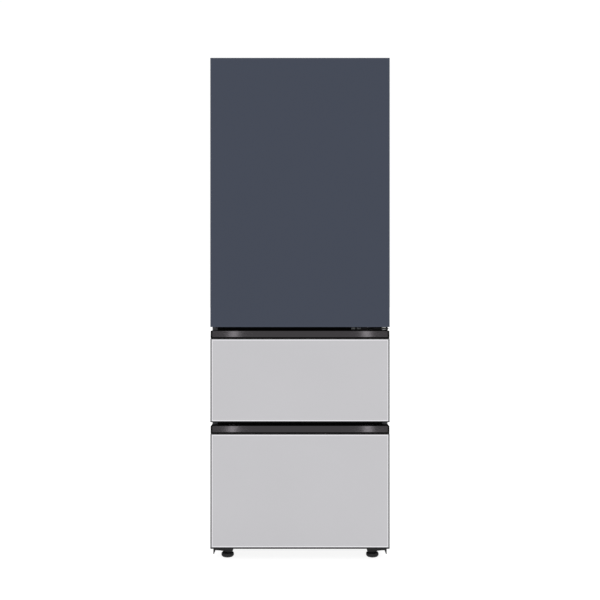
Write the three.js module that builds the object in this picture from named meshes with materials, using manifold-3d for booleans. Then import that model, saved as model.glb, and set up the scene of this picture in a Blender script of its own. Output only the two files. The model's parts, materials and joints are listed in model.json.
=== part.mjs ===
// Kimchi refrigerator with one tall door over two drawers.
// Millimetres, +Z up, front face towards -Y, origin at the middle of the footprint on the floor.
import * as THREE from 'three';
import { mergeVertices } from 'three/addons/utils/BufferGeometryUtils.js';
import Module from 'manifold-3d';

const wasm = await Module();
wasm.setup();

// ---------- driving dimensions ----------

const WIDTH = 664;                // door and drawer fronts, side to side
const HEIGHT = 1860;              // floor to the top edge of the door
const DEPTH = 700;                // front face to the wall spacers
const FIT = 0.3;                  // gap between pieces that meet
const SHEET = 1.2;                // steel sheet of the outer case
const PAST = 1;                   // a cutting or joined shape runs past a face by this much

// fronts, from the floor up
const FRONT_BOTTOM = 46;
const LOWER_PANEL_HEIGHT = 423;
const MIDDLE_PANEL_HEIGHT = 308;
const HANDLE_HEIGHT = 30;
const ROW_GAP = 14;
const PANEL = 6;                  // thickness of a front panel
const PANEL_CHAMFER = 1.5;
const FRONT_THICKNESS = 58;       // front face to the rear of a door or drawer case
const CASE_INSET = 1;             // case edge behind the edge of its panel
const CASE_WALL = 20;
const CASE_BACK = 3;

// seals
const SEAL_GAP = 10;              // case to cabinet front
const GASKET_INSET = 22;
const GASKET_WIDTH = 16;
const SEAL_MARGIN = 40;           // edge of a front to the opening behind it

// cabinet
const SIDE_STEP = 2;              // the cabinet is narrower than the fronts on each side
const TOP_STEP = 24;              // the door stands above the cabinet
const BASE_TOP = 46;
const SPACER = 7;
const RETURN = 20;                // front return of the side and top sheets
const SIDE_WALL = 45;
const TOP_WALL = 50;
const BACK_WALL = 88;
const FLOOR_WALL = 50;
const LINER = 3;
const LINER_LIP = 12;
const MULLION_DEPTH = 30;
const MULLION_RIB = 40;
const MACHINE_DEPTH = 218;
const MACHINE_TOP = 235;
const VENT_LENGTH = 90;
const VENT_WIDTH = 6;
const VENT_PITCH = 16;
const VENT_ROWS = 7;
const VENT_INSET = 170;           // vent middle from the side of the cabinet

// door hinges
const PIN_INSET = 20;             // hinge axis from the right edge of the door
const PIN_SETBACK = 30;           // hinge axis behind the front face
const PIN_RADIUS = 5;
const PIN_LENGTH = 16;
const HINGE_PLATE = 5;
const HINGE_ARM_RADIUS = 9;
const NOTCH_WIDTH = 104;
const CASE_TOP_WALL = 56;
const HINGE_LEAF_WIDTH = 134;
const HINGE_LEAF_HEIGHT = 34;
const HINGE_LEAF = 3;
const HINGE_STRIP = 8;            // arm plate in front of the leaf
const HINGE_TAPER = 48;
const COVER_WALL = 2;
const COVER_SIDE = 5;             // cover past the hinge arm
const COVER_DEPTH = 96;
const COVER_HEIGHT = 20;

// inside of the door
const DYKE_INSET = 14;            // door liner's raised rim, inside the compartment walls
const DYKE_DEPTH = 70;
const DYKE_WIDTH = 24;
const BIN_DEPTH = 96;
const BIN_HEIGHT = 96;
const BIN_WALL = 2.5;
const BIN_HEIGHTS = [120, 470];   // above the compartment floor

// drawers
const RAIL_GAP = 33;              // rail end to the back of the compartment
const ARM_SHORTER = 20;           // than the rail
const SLIDER_SHORTER = 30;
const SLIDER_START = 2;           // behind the front of the rail
const RAIL_HEIGHT = 46;
const RAIL_DEPTH = 13;
const RAIL_WALL = 2;
const SLIDE_CLEAR = 0.5;
const ARM_WEB = 3;
const RAIL_START = 4;             // rail front behind the cabinet front
const FRAME_PLATE = 3;
const BOX_WALL = 3;
const RIM_CLEAR = 2;              // box rim above the rail
const BOX_RIM = 10;
const BOX_RIM_THICKNESS = 3;
const MIDDLE_RAIL_RISE = 235;     // rail centre above the drawer's bottom edge
const LOWER_RAIL_RISE = 350;
const MIDDLE_BOX_GAP = 53;        // box to the back of its compartment
const LOWER_BOX_GAP = 18;         // box to the step over the machine compartment
const MIDDLE_BOX_HEIGHT = 190;
const LOWER_BOX_HEIGHT = 300;

// handle trim on top of each drawer front
const LIP_SETBACK = 2;            // lip behind the front face
const LIP_THICKNESS = 8;
const LIP_LEAN = 6;
const SCOOP_WIDTH = 24;
const SCOOP_FLOOR = 4;
const HANDLE_CORNER = 5;
const LIP_EDGE = 2;
const SCOOP_FILLET = 4;

// shelves and the upper compartment
const SHELF_HEIGHTS = [285, 570]; // above the compartment floor
const SHELF_THICKNESS = 6;
const SHELF_NOSE = 16;
const SHELF_NOSE_THICKNESS = 5;
const SHELF_FRONT = 92;           // behind the cabinet front
const LEDGE_WIDTH = 8;
const LEDGE_HEIGHT = 8;
const DUCT_SPACE = 46;            // behind the duct cover
const DUCT_THICKNESS = 3;
const DUCT_SIDE_GAP = 75;         // duct cover to the wall of the compartment
const DUCT_BOTTOM = 60;           // above the compartment floor
const DUCT_TOP_GAP = 61;          // below the compartment ceiling
const LOUVRE_LENGTH = 120;
const LOUVRE_HEIGHT = 8;
const LOUVRE_DROP = 30;           // below each shelf and below the top of the duct cover
const LOUVRE_X = 120;
const CIRCULATION_HEIGHT = 330;   // fan axis above the bottom of the duct cover
const COIL_SIDE_GAP = 32;         // evaporator pipes to the side of the duct cover
const COIL_HEIGHT = 180;
const COIL_DEPTH = 30;
const COIL_FINS = 10;
const COIL_PIPES = [0.2, 0.8];    // as shares of the coil height
const PANEL_BOX_WIDTH = 300;
const PANEL_BOX_DEPTH = 70;
const PANEL_BOX_HEIGHT = 18;
const PANEL_BOX_WALL = 2;
const BUTTON_X = 40;
const BUTTON_RADIUS = 9;
const BUTTON_PROUD = 1.5;
const BUTTON_HEIGHT = 10;
const BUTTON_CHAMFER = 1;
const BUTTON_COLLAR = 2;
const BUTTON_STEM_RADIUS = 5;
const LAMP_WIDTH = 180;
const LAMP_DEPTH = 36;
const LAMP_HEIGHT = 9;
const LAMP_CHAMFER = 3;
const LAMP_GAP = 10;              // behind the control panel

// fans
const CONDENSER_FAN_RADIUS = 68;
const CIRCULATION_FAN_RADIUS = 48;
const FAN_HUB_RADIUS = 17;
const FAN_WIDTH = 18;
const FAN_BLADES = 5;
const FAN_BLADE_THICKNESS = 2.4;
const FAN_BLADE_CHORD = 21.6;
const FAN_BLADE_TURN = 53;        // degrees
const SHAFT_RADIUS = 4;

// machine compartment
const COMPRESSOR_RADIUS = 74;
const COMPRESSOR_HEIGHT = 158;
const COMPRESSOR_INSET = 130;     // compressor axis from the side of the cabinet
const COMPRESSOR_LIFT = 6;
const COMPRESSOR_BEND = 30;       // height of the rounded ends of its shell
const COMPRESSOR_SEAM = 8;
const COMPRESSOR_SEAM_PROUD = 4;
const COMPRESSOR_PLATE = 8;
const COMPRESSOR_PLATE_SIDE = 14; // plate past the shell on each side
const CONDENSER_INSET = 105;      // condenser middle from the side of the cabinet
const CONDENSER_WIDTH = 90;
const CONDENSER_DEPTH = 160;
const CONDENSER_HEIGHT = 150;
const CONDENSER_FINS = 8;
const PIPE_RADIUS = 5;
const PIPE_SIDES = 6;
const CONDENSER_PIPES = [0.25, 0.75]; // as shares of the condenser's depth and height
const FIN = 2;
const FAN_SPACING = 34;           // condenser fins to the middle of the fan
const TRAY_GAP = 17;              // tray to the compressor plate
const TRAY_FAN_GAP = 42;
const TRAY_DEPTH = 150;
const TRAY_HEIGHT = 26;
const TRAY_WALL = 2;
const GLAND_INSET = 45;           // from the side of the cabinet
const GLAND_Z = 90;
const GLAND_RADIUS = 9;
const GLAND_PROUD = 6;
const GLAND_FLANGE = 3;
const GLAND_NUT = 4;
const GLAND_TAPER = 2;

// feet and wheels
const FOOT_INSET = 58;            // foot centre from the side of the cabinet
const FOOT_SETBACK = 66;          // foot centre behind the front face
const FOOT_RADIUS = 23.5;
const FOOT_HEIGHT = 27;
const FOOT_DISC = 10;
const FOOT_DISC_LEVELS = [0, 11];
const FOOT_EDGE = 2;
const STEM_RADIUS = 5;
const BASE_PLATE = 3;
const BRACKET_WIDTH = 76;
const BRACKET_INSET = 3.5;
const BRACKET_DROP = 20;
const WHEEL_RADIUS = 21;
const WHEEL_WIDTH = 18;
const WHEEL_EDGE = 2;
const WHEEL_CLEAR = 2;            // wheel to the edge of its slot
const WHEEL_INSET = 60;           // wheel middle from the side of the cabinet
const WHEEL_SETBACK = 70;         // wheel axle in front of the cabinet back
const AXLE_RADIUS = 4;
const FORK_PLATE = 4;
const FORK_CLEAR = 1;
const SIDE_SKIRT = 16;

const ROUND = 20;                 // sides of a round piece

// ---------- places worked out from the sizes ----------

const FRONT = -DEPTH / 2;
const CASE_REAR = FRONT + FRONT_THICKNESS;
const FACE = CASE_REAR + SEAL_GAP;          // front of the cabinet
const BACK = DEPTH / 2 - SPACER;
const HALF = WIDTH / 2 - SIDE_STEP;         // cabinet half width
const INNER = HALF - SHEET - FIT;           // just inside the side sheets
const TOP = HEIGHT - TOP_STEP;
const FLANGE = HALF - RETURN - FIT;         // half width between the side returns
const OPENING = HALF - SIDE_WALL;           // compartment half width
const LINER_BACK = BACK - BACK_WALL;
const MACHINE_FRONT = BACK - MACHINE_DEPTH;
const STEP_FRONT = MACHINE_FRONT - FLOOR_WALL / 2;
const COMPRESSOR_X = COMPRESSOR_INSET - HALF;
const CONDENSER_X = HALF - CONDENSER_INSET;
const VENT_X = HALF - VENT_INSET;
const GLAND_X = GLAND_INSET - HALF;
const FOOT_X = HALF - FOOT_INSET;
const WHEEL_X = HALF - WHEEL_INSET;

const LOWER_TOP = FRONT_BOTTOM + LOWER_PANEL_HEIGHT + HANDLE_HEIGHT;
const MIDDLE_BOTTOM = LOWER_TOP + ROW_GAP;
const MIDDLE_TOP = MIDDLE_BOTTOM + MIDDLE_PANEL_HEIGHT + HANDLE_HEIGHT;
const DOOR_BOTTOM = MIDDLE_TOP + ROW_GAP;

const LOWER_FLOOR = BASE_TOP + FLOOR_WALL;
const LOWER_CEILING = LOWER_TOP - SEAL_MARGIN;
const MIDDLE_FLOOR = MIDDLE_BOTTOM + SEAL_MARGIN;
const MIDDLE_CEILING = MIDDLE_TOP - SEAL_MARGIN;
const UPPER_FLOOR = DOOR_BOTTOM + SEAL_MARGIN;
const UPPER_CEILING = TOP - TOP_WALL;

const PIN_X = WIDTH / 2 - PIN_INSET;
const PIN_Y = FRONT + PIN_SETBACK;
const HINGE_LEVEL = (MIDDLE_TOP + DOOR_BOTTOM - HINGE_PLATE) / 2;
const DUCT_Y = LINER_BACK - DUCT_SPACE;
const DUCT_BASE = UPPER_FLOOR + DUCT_BOTTOM;
const DUCT_HIGH = UPPER_CEILING - DUCT_TOP_GAP;
const DUCT_HALF = OPENING - DUCT_SIDE_GAP;

// ---------- materials ----------

function finish(color, roughness, metalness = 0) {
  return new THREE.MeshStandardMaterial({ color, roughness, metalness });
}

const NAVY = finish(0x484b59, 0.55);
const LIGHT_GREY = finish(0xc6c6c8, 0.5);
const DARK_METAL = finish(0x3a3a3d, 0.35, 0.8);
const BLACK = finish(0x17171a, 0.6);
const CHARCOAL = finish(0x46484c, 0.5, 0.3);
const BUTTON_GREY = finish(0x8d9096, 0.5);
const WHITE_PLASTIC = finish(0xe9ebec, 0.4);
const CLEAR_PLASTIC = finish(0xdfe7ea, 0.2);
const FOAM = finish(0xe8d9a8, 0.9);
const ZINC = finish(0xb6b8bb, 0.35, 1);
const RUBBER = finish(0x2b2b2d, 0.8);
const COPPER_BLACK = finish(0x222226, 0.5, 0.6);
const ALUMINIUM = finish(0xc9ccd0, 0.35, 1);

// ---------- shape helpers ----------

function toSolid(geometry) {
  const bare = geometry.index ? geometry.toNonIndexed() : geometry.clone();
  bare.deleteAttribute('normal');
  bare.deleteAttribute('uv');
  const merged = mergeVertices(bare, 1e-4);
  const triangles = [];
  for (let i = 0; i < merged.index.count; i += 3) {
    const [a, b, c] = [0, 1, 2].map((k) => merged.index.getX(i + k));
    if (a !== b && b !== c && c !== a) triangles.push(a, b, c);
  }
  return new wasm.Manifold(new wasm.Mesh({
    numProp: 3,
    vertProperties: new Float32Array(merged.attributes.position.array),
    triVerts: new Uint32Array(triangles),
  }));
}

function toGeometry(solid) {
  const { vertProperties, triVerts } = solid.getMesh();
  const geometry = new THREE.BufferGeometry();
  geometry.setAttribute('position', new THREE.BufferAttribute(vertProperties, 3));
  geometry.setIndex(new THREE.BufferAttribute(triVerts, 1));
  const flat = geometry.toNonIndexed();
  flat.computeVertexNormals();
  return flat;
}

function join(first, ...others) {
  return toGeometry(others.reduce((sum, next) => sum.add(toSolid(next)), toSolid(first)));
}

function cut(first, ...tools) {
  return toGeometry(tools.reduce((rest, tool) => rest.subtract(toSolid(tool)), toSolid(first)));
}

// A block between two corners, given as [low, high] along each axis.
function block([x0, x1], [y0, y1], [z0, z1]) {
  const shape = new THREE.BoxGeometry(x1 - x0, y1 - y0, z1 - z0);
  return shape.translate((x0 + x1) / 2, (y0 + y1) / 2, (z0 + z1) / 2);
}

function around(centre, half) {
  return [centre - half, centre + half];
}

function prism(points, length) {
  const shape = new THREE.Shape(points.map(([u, v]) => new THREE.Vector2(u, v)));
  return new THREE.ExtrudeGeometry(shape, { depth: length, bevelEnabled: false });
}

// An outline of (y, z) points, swept along X.
function alongX(points, [x0, x1]) {
  const turn = new THREE.Matrix4().set(0, 0, 1, x0, 1, 0, 0, 0, 0, 1, 0, 0, 0, 0, 0, 1);
  return prism(points, x1 - x0).applyMatrix4(turn);
}

// An outline of (x, z) points, swept along Y.
function alongY(points, [y0, y1]) {
  const turn = new THREE.Matrix4().set(1, 0, 0, 0, 0, 0, -1, y1, 0, 1, 0, 0, 0, 0, 0, 1);
  return prism(points, y1 - y0).applyMatrix4(turn);
}

// An outline of (x, y) points, swept along Z.
function alongZ(points, [z0, z1]) {
  return prism(points, z1 - z0).translate(0, 0, z0);
}

// A turned piece about Z, from (radius, z) points.
function turned(points, sides = ROUND) {
  const profile = points.map(([r, z]) => new THREE.Vector2(r, z));
  return new THREE.LatheGeometry(profile, sides).rotateX(Math.PI / 2);
}

function rod(radius, [z0, z1], sides = ROUND) {
  return turned([[0, z0], [radius, z0], [radius, z1], [0, z1]], sides);
}

// Points of a quarter ellipse from (radius, start) to the flat end at start + rise.
function dome(radius, start, rise, flat) {
  const steps = 4;
  const points = [];
  for (let i = 0; i <= steps; i += 1) {
    const angle = i / steps * Math.PI / 2;
    points.push([flat + (radius - flat) * Math.cos(angle), start + rise * Math.sin(angle)]);
  }
  return points;
}

function piece(name, geometry, material, [x, y, z] = [0, 0, 0]) {
  const mesh = new THREE.Mesh(geometry, material);
  mesh.name = name;
  mesh.position.set(x, y, z);
  return mesh;
}

function assembly([x, y, z], ...members) {
  const group = new THREE.Group();
  group.position.set(x, y, z);
  group.add(...members);
  return group;
}

// ---------- cabinet shell ----------

function sidePanel(side) {
  const outline = [
    [HALF, FACE], [HALF, BACK], [HALF - SHEET, BACK], [HALF - SHEET, FACE + SHEET],
    [HALF - RETURN, FACE + SHEET], [HALF - RETURN, FACE],
  ];
  const points = side > 0 ? outline : outline.map(([x, y]) => [-x, y]).reverse();
  return alongZ(points, [BASE_TOP + FIT, TOP]);
}

function topPanel() {
  const behindReturn = FACE + SHEET + FIT;
  return join(
    block(around(0, FLANGE), [FACE, BACK], [TOP - SHEET, TOP]),
    block(around(0, INNER), [behindReturn, BACK], [TOP - SHEET, TOP]),
    block(around(0, FLANGE), [FACE, FACE + SHEET], [TOP - RETURN, TOP]),
  );
}

// One sheet, bent forwards over the machine compartment and down its front.
function backPanel() {
  const low = BASE_TOP + FIT;
  const high = TOP - SHEET - FIT;
  const sheet = alongX([
    [MACHINE_FRONT, low], [MACHINE_FRONT + SHEET, low], [MACHINE_FRONT + SHEET, MACHINE_TOP],
    [BACK, MACHINE_TOP], [BACK, high], [BACK - SHEET, high], [BACK - SHEET, MACHINE_TOP + SHEET],
    [MACHINE_FRONT, MACHINE_TOP + SHEET],
  ], around(0, INNER));
  const spacers = [-1, 1].map((side) => block(
    around(side * OPENING, RETURN), [BACK - SHEET, BACK + SPACER], around(TOP - TOP_WALL * 2, TOP_WALL),
  ));
  return join(sheet, ...spacers);
}

function machineCover() {
  const sheet = block(around(0, INNER), [BACK - SHEET, BACK], [BASE_TOP + FIT, MACHINE_TOP - FIT]);
  const middle = (BASE_TOP + MACHINE_TOP) / 2;
  const vents = [];
  for (const side of [-1, 1]) {
    for (let row = 0; row < VENT_ROWS; row += 1) {
      const height = middle + (row - (VENT_ROWS - 1) / 2) * VENT_PITCH;
      const across = around(side * VENT_X, VENT_LENGTH / 2);
      vents.push(block(across, around(BACK, SHEET * 2), around(height, VENT_WIDTH / 2)));
    }
  }
  const gland = rod(GLAND_RADIUS + FIT, [-SHEET * 2, SHEET * 2])
    .rotateX(Math.PI / 2)
    .translate(GLAND_X, BACK, GLAND_Z);
  return cut(sheet, ...vents, gland);
}

function cordGland() {
  const flange = GLAND_RADIUS + GLAND_FLANGE;
  const behind = -SHEET - FIT;
  return turned([
    [0, behind - GLAND_NUT], [flange, behind - GLAND_NUT], [flange, behind], [GLAND_RADIUS, behind],
    [GLAND_RADIUS, FIT], [flange, FIT], [GLAND_RADIUS - GLAND_TAPER, GLAND_PROUD], [0, GLAND_PROUD],
  ]).rotateX(-Math.PI / 2);
}

// Low and high edge of a compartment, and of the front flange round it.
const UPPER_ROOM = {
  floor: UPPER_FLOOR, ceiling: UPPER_CEILING,
  flange: [UPPER_FLOOR - LINER_LIP, TOP - RETURN - FIT],
};
const MIDDLE_ROOM = {
  floor: MIDDLE_FLOOR, ceiling: MIDDLE_CEILING,
  flange: [MIDDLE_FLOOR - LINER_LIP, MIDDLE_CEILING + LINER_LIP],
};
const LOWER_ROOM = {
  floor: LOWER_FLOOR, ceiling: LOWER_CEILING,
  flange: [BASE_TOP + FIT, LOWER_CEILING + LINER_LIP],
};

// (y, z) outline of a compartment, grown by a wall; the lower one steps over the machine compartment.
function roomOutline({ floor, ceiling }, wall, front) {
  const [low, high, back] = [floor - wall, ceiling + wall, LINER_BACK + wall];
  const step = MACHINE_TOP + FLOOR_WALL - wall;
  if (floor > step) return [[front, low], [back, low], [back, high], [front, high]];
  const stepFront = STEP_FRONT + wall;
  return [
    [front, low], [stepFront, low], [stepFront, step], [back, step], [back, high], [front, high],
  ];
}

function liner(room, ledges = []) {
  const shell = join(
    alongX(roomOutline(room, LINER, FACE), around(0, OPENING + LINER)),
    block(around(0, FLANGE), [FACE, FACE + LINER], room.flange),
  );
  const open = cut(shell, alongX(roomOutline(room, 0, FACE - LINER), around(0, OPENING)));
  return ledges.length ? join(open, ...ledges) : open;
}

function shelfLedges() {
  const deep = [FACE + SHELF_FRONT + SHELF_NOSE_THICKNESS + FIT, DUCT_Y - DUCT_THICKNESS];
  return SHELF_HEIGHTS.flatMap((height) => [-1, 1].map((side) => {
    const level = UPPER_FLOOR + height;
    const across = around(side * (OPENING + (LINER - LEDGE_WIDTH) / 2), (LINER + LEDGE_WIDTH) / 2);
    return block(across, deep, [level - LEDGE_HEIGHT, level]);
  }));
}

function mullion(below, above) {
  const [low, high] = [below.flange[1] + FIT, above.flange[0] - FIT];
  const middle = (low + high) / 2;
  return join(
    block(around(0, FLANGE), [FACE, FACE + LINER], [low, high]),
    block(around(0, OPENING), [FACE, FACE + MULLION_DEPTH], around(middle, MULLION_RIB / 2)),
  );
}

function cabinetFoam() {
  const front = FACE + LINER + FIT;
  const body = block(
    around(0, INNER - FIT), [front, BACK - SHEET - FIT], [BASE_TOP + FIT, TOP - SHEET - FIT],
  );
  const wall = LINER + FIT;
  const rooms = [UPPER_ROOM, MIDDLE_ROOM, LOWER_ROOM]
    .map((room) => alongX(roomOutline(room, wall, FACE), around(0, OPENING + wall)));
  const ribs = [[LOWER_ROOM, MIDDLE_ROOM], [MIDDLE_ROOM, UPPER_ROOM]].map(([below, above]) => {
    const middle = (below.flange[1] + above.flange[0]) / 2;
    const across = around(0, OPENING + FIT);
    return block(across, [FACE, FACE + MULLION_DEPTH + FIT], around(middle, MULLION_RIB / 2 + FIT));
  });
  const machine = block(
    around(0, WIDTH), [MACHINE_FRONT - FIT, DEPTH], [0, MACHINE_TOP + SHEET + FIT],
  );
  return cut(body, ...rooms, ...ribs, machine);
}

// ---------- base, feet and wheels ----------

const FOOT_Y = FRONT + FOOT_SETBACK;
const WHEEL_Y = BACK - WHEEL_SETBACK;
const PLATE_LOW = BASE_TOP - BASE_PLATE;
const FORK_HALF = WHEEL_WIDTH / 2 + FORK_CLEAR;

function baseFrame() {
  const bracketFront = FOOT_Y - FOOT_RADIUS / 2;
  const parts = [block(around(0, INNER), [FACE, BACK - SHEET - FIT], [PLATE_LOW, BASE_TOP])];
  for (const side of [-1, 1]) {
    const skirt = around(side * (INNER - BASE_PLATE / 2), BASE_PLATE / 2);
    parts.push(block(skirt, [FACE, BACK - SHEET - FIT], [BASE_TOP - SIDE_SKIRT, BASE_TOP]));
    const edge = INNER - BRACKET_INSET;
    const bracket = around(side * (edge - BRACKET_WIDTH / 2), BRACKET_WIDTH / 2);
    const shelf = [PLATE_LOW - BASE_PLATE, PLATE_LOW];
    parts.push(block(bracket, [bracketFront, FOOT_Y + FOOT_RADIUS], [shelf[0], BASE_TOP]));
    const tab = around(side * (edge - BASE_PLATE), BASE_PLATE);
    parts.push(block(tab, [bracketFront, FOOT_Y + FOOT_RADIUS], [shelf[0] - BRACKET_DROP, BASE_TOP]));
    for (const face of [-1, 1]) {
      const fork = around(side * WHEEL_X + face * (FORK_HALF + FORK_PLATE / 2), FORK_PLATE / 2);
      const drop = [WHEEL_RADIUS - AXLE_RADIUS * 2, BASE_TOP];
      parts.push(block(fork, around(WHEEL_Y, AXLE_RADIUS * 3), drop));
    }
    const axle = rod(AXLE_RADIUS, around(0, FORK_HALF + FORK_PLATE), 12).rotateY(Math.PI / 2);
    parts.push(axle.translate(side * WHEEL_X, WHEEL_Y, WHEEL_RADIUS));
  }
  const bores = [-1, 1].map((side) => rod(STEM_RADIUS + FIT, [0, HEIGHT], 16)
    .translate(side * FOOT_X, FOOT_Y, 0));
  const slots = [-1, 1].map((side) => block(
    around(side * WHEEL_X, FORK_HALF), around(WHEEL_Y, WHEEL_RADIUS + WHEEL_CLEAR),
    [PLATE_LOW - PAST, BASE_TOP + PAST],
  ));
  return cut(join(...parts), ...bores, ...slots);
}

function foot() {
  const neck = STEM_RADIUS * 2;
  const groove = FOOT_RADIUS - FOOT_EDGE;
  const discs = FOOT_DISC_LEVELS.flatMap((level) => [
    [groove, level], [FOOT_RADIUS, level + FOOT_EDGE],
    [FOOT_RADIUS, level + FOOT_DISC - FOOT_EDGE], [groove, level + FOOT_DISC],
  ]);
  const shoulder = discs.at(-1)[1];
  return turned([
    [0, 0], ...discs, [neck, shoulder], [neck, FOOT_HEIGHT],
    [STEM_RADIUS, FOOT_HEIGHT], [STEM_RADIUS, BASE_TOP], [0, BASE_TOP],
  ], 24);
}

function wheel() {
  const bore = AXLE_RADIUS + FIT;
  const half = WHEEL_WIDTH / 2;
  const tread = WHEEL_RADIUS - WHEEL_EDGE;
  return turned([
    [bore, -half], [tread, -half], [WHEEL_RADIUS, -half + WHEEL_EDGE],
    [WHEEL_RADIUS, half - WHEEL_EDGE], [tread, half], [bore, half], [bore, -half],
  ], 24).rotateY(Math.PI / 2);
}

// ---------- machine compartment ----------

const MACHINE_Y = (MACHINE_FRONT + BACK) / 2;

function compressor() {
  const r = COMPRESSOR_RADIUS;
  const seam = [COMPRESSOR_HEIGHT - COMPRESSOR_SEAM, COMPRESSOR_HEIGHT + COMPRESSOR_SEAM]
    .map((level) => level / 2);
  const flat = r / 2;
  const lowBend = dome(r, -COMPRESSOR_LIFT - COMPRESSOR_BEND, COMPRESSOR_BEND, flat)
    .map(([radius, level]) => [radius, -level])
    .reverse();
  const highBend = dome(r, COMPRESSOR_HEIGHT - COMPRESSOR_BEND, COMPRESSOR_BEND, flat);
  const shell = turned([
    [0, COMPRESSOR_LIFT], ...lowBend, [r, seam[0]], [r + COMPRESSOR_SEAM_PROUD, seam[0]],
    [r + COMPRESSOR_SEAM_PROUD, seam[1]], [r, seam[1]], ...highBend, [0, COMPRESSOR_HEIGHT],
  ], 24);
  const across = around(0, r + COMPRESSOR_PLATE_SIDE);
  return join(shell, block(across, around(0, r - COMPRESSOR_PLATE), [0, COMPRESSOR_PLATE]));
}

function condenser() {
  const pitch = CONDENSER_WIDTH / (CONDENSER_FINS - 1);
  const parts = [];
  for (let i = 0; i < CONDENSER_FINS; i += 1) {
    const x = (i - (CONDENSER_FINS - 1) / 2) * pitch;
    parts.push(block(around(x, FIN / 2), around(0, CONDENSER_DEPTH / 2), [0, CONDENSER_HEIGHT]));
  }
  for (const share of CONDENSER_PIPES) {
    const length = around(0, CONDENSER_WIDTH / 2 + PIPE_RADIUS);
    const pipe = rod(PIPE_RADIUS, length, PIPE_SIDES).rotateY(Math.PI / 2);
    parts.push(pipe.translate(0, CONDENSER_DEPTH * (share - 0.5), CONDENSER_HEIGHT * share));
  }
  const tip = -CONDENSER_WIDTH / 2 - FAN_SPACING - FAN_WIDTH / 2;
  const shaft = rod(SHAFT_RADIUS, [tip, -CONDENSER_WIDTH / 2], 12).rotateY(Math.PI / 2);
  parts.push(shaft.translate(0, 0, CONDENSER_HEIGHT / 2));
  return join(...parts);
}

// Hub and twisted blades about Z.
function fan(radius) {
  const hub = rod(FAN_HUB_RADIUS, around(0, FAN_WIDTH / 2));
  const blades = [];
  for (let i = 0; i < FAN_BLADES; i += 1) {
    const blade = block(
      [FAN_HUB_RADIUS - PAST, radius], around(0, FAN_BLADE_THICKNESS / 2), around(0, FAN_BLADE_CHORD / 2),
    );
    const turn = THREE.MathUtils.degToRad(FAN_BLADE_TURN);
    blades.push(blade.rotateX(turn).rotateZ(i * Math.PI * 2 / FAN_BLADES));
  }
  return cut(join(hub, ...blades), rod(SHAFT_RADIUS + FIT, around(0, FAN_WIDTH), 12));
}

const FAN_X = CONDENSER_X - CONDENSER_WIDTH / 2 - FAN_SPACING;
const TRAY_LEFT = COMPRESSOR_X + COMPRESSOR_RADIUS + COMPRESSOR_PLATE_SIDE + TRAY_GAP;
const TRAY_RIGHT = FAN_X - FAN_WIDTH / 2 - TRAY_FAN_GAP;

function tray() {
  const outer = block([TRAY_LEFT, TRAY_RIGHT], around(0, TRAY_DEPTH / 2), [0, TRAY_HEIGHT]);
  const inside = block(
    [TRAY_LEFT + TRAY_WALL, TRAY_RIGHT - TRAY_WALL], around(0, TRAY_DEPTH / 2 - TRAY_WALL),
    [TRAY_WALL, TRAY_HEIGHT + PAST],
  );
  return cut(outer, inside);
}

// ---------- door hinges ----------

function middleHinge() {
  const right = PIN_X + HINGE_ARM_RADIUS * 2;
  const left = right - HINGE_LEAF_WIDTH;
  const leafRear = FACE - FIT;
  const leafFront = leafRear - HINGE_LEAF;
  const strip = leafFront - HINGE_STRIP;
  const tip = PIN_Y - HINGE_ARM_RADIUS;
  const neck = PIN_X - HINGE_ARM_RADIUS * 2;
  const arm = alongZ([
    [left, strip], [left, leafRear], [right, leafRear], [right, PIN_Y],
    [PIN_X + HINGE_ARM_RADIUS, tip], [PIN_X - HINGE_ARM_RADIUS, tip], [neck, PIN_Y],
    [neck - HINGE_TAPER, strip],
  ].reverse(), [HINGE_LEVEL, HINGE_LEVEL + HINGE_PLATE]);
  const middle = HINGE_LEVEL + HINGE_PLATE / 2;
  return join(
    block([left, right], [leafFront, leafRear], around(middle, HINGE_LEAF_HEIGHT / 2)),
    arm,
    rod(PIN_RADIUS, [HINGE_LEVEL, DOOR_BOTTOM + PIN_LENGTH]).translate(PIN_X, PIN_Y, 0),
  );
}

const COVER_RIGHT = PIN_X + HINGE_ARM_RADIUS + COVER_SIDE;
const COVER_X = [COVER_RIGHT - NOTCH_WIDTH, COVER_RIGHT];
const COVER_Y = [FACE + COVER_WALL, FACE + COVER_WALL + COVER_DEPTH];
const TOP_HINGE_LOW = TOP + FIT;
const TOP_HINGE_HIGH = TOP_HINGE_LOW + HINGE_PLATE;

function topHinge() {
  const gap = COVER_WALL + FIT;
  const level = [TOP_HINGE_LOW, TOP_HINGE_HIGH];
  return join(
    block([COVER_X[0] + gap, COVER_X[1] - gap], [COVER_Y[0] + gap, COVER_Y[1] - gap], level),
    block(around(PIN_X, HINGE_ARM_RADIUS), [PIN_Y, COVER_Y[0] + gap * 2], level),
    rod(HINGE_ARM_RADIUS, level).translate(PIN_X, PIN_Y, 0),
    rod(PIN_RADIUS, [TOP_HINGE_LOW - PIN_LENGTH, TOP_HINGE_LOW + PAST]).translate(PIN_X, PIN_Y, 0),
  );
}

function topHingeCover() {
  const low = TOP + FIT;
  const shell = block(COVER_X, COVER_Y, [low, low + COVER_HEIGHT]);
  const inside = block(
    [COVER_X[0] + COVER_WALL, COVER_X[1] - COVER_WALL],
    [COVER_Y[0] + COVER_WALL, COVER_Y[1] - COVER_WALL], [low - PAST, low + COVER_HEIGHT - COVER_WALL],
  );
  const mouth = block(
    around(PIN_X, HINGE_ARM_RADIUS + FIT), [COVER_Y[0] - PAST, COVER_Y[0] + COVER_WALL + PAST],
    [low - PAST, TOP_HINGE_HIGH + FIT],
  );
  return cut(shell, inside, mouth);
}

// ---------- door ----------

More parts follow.
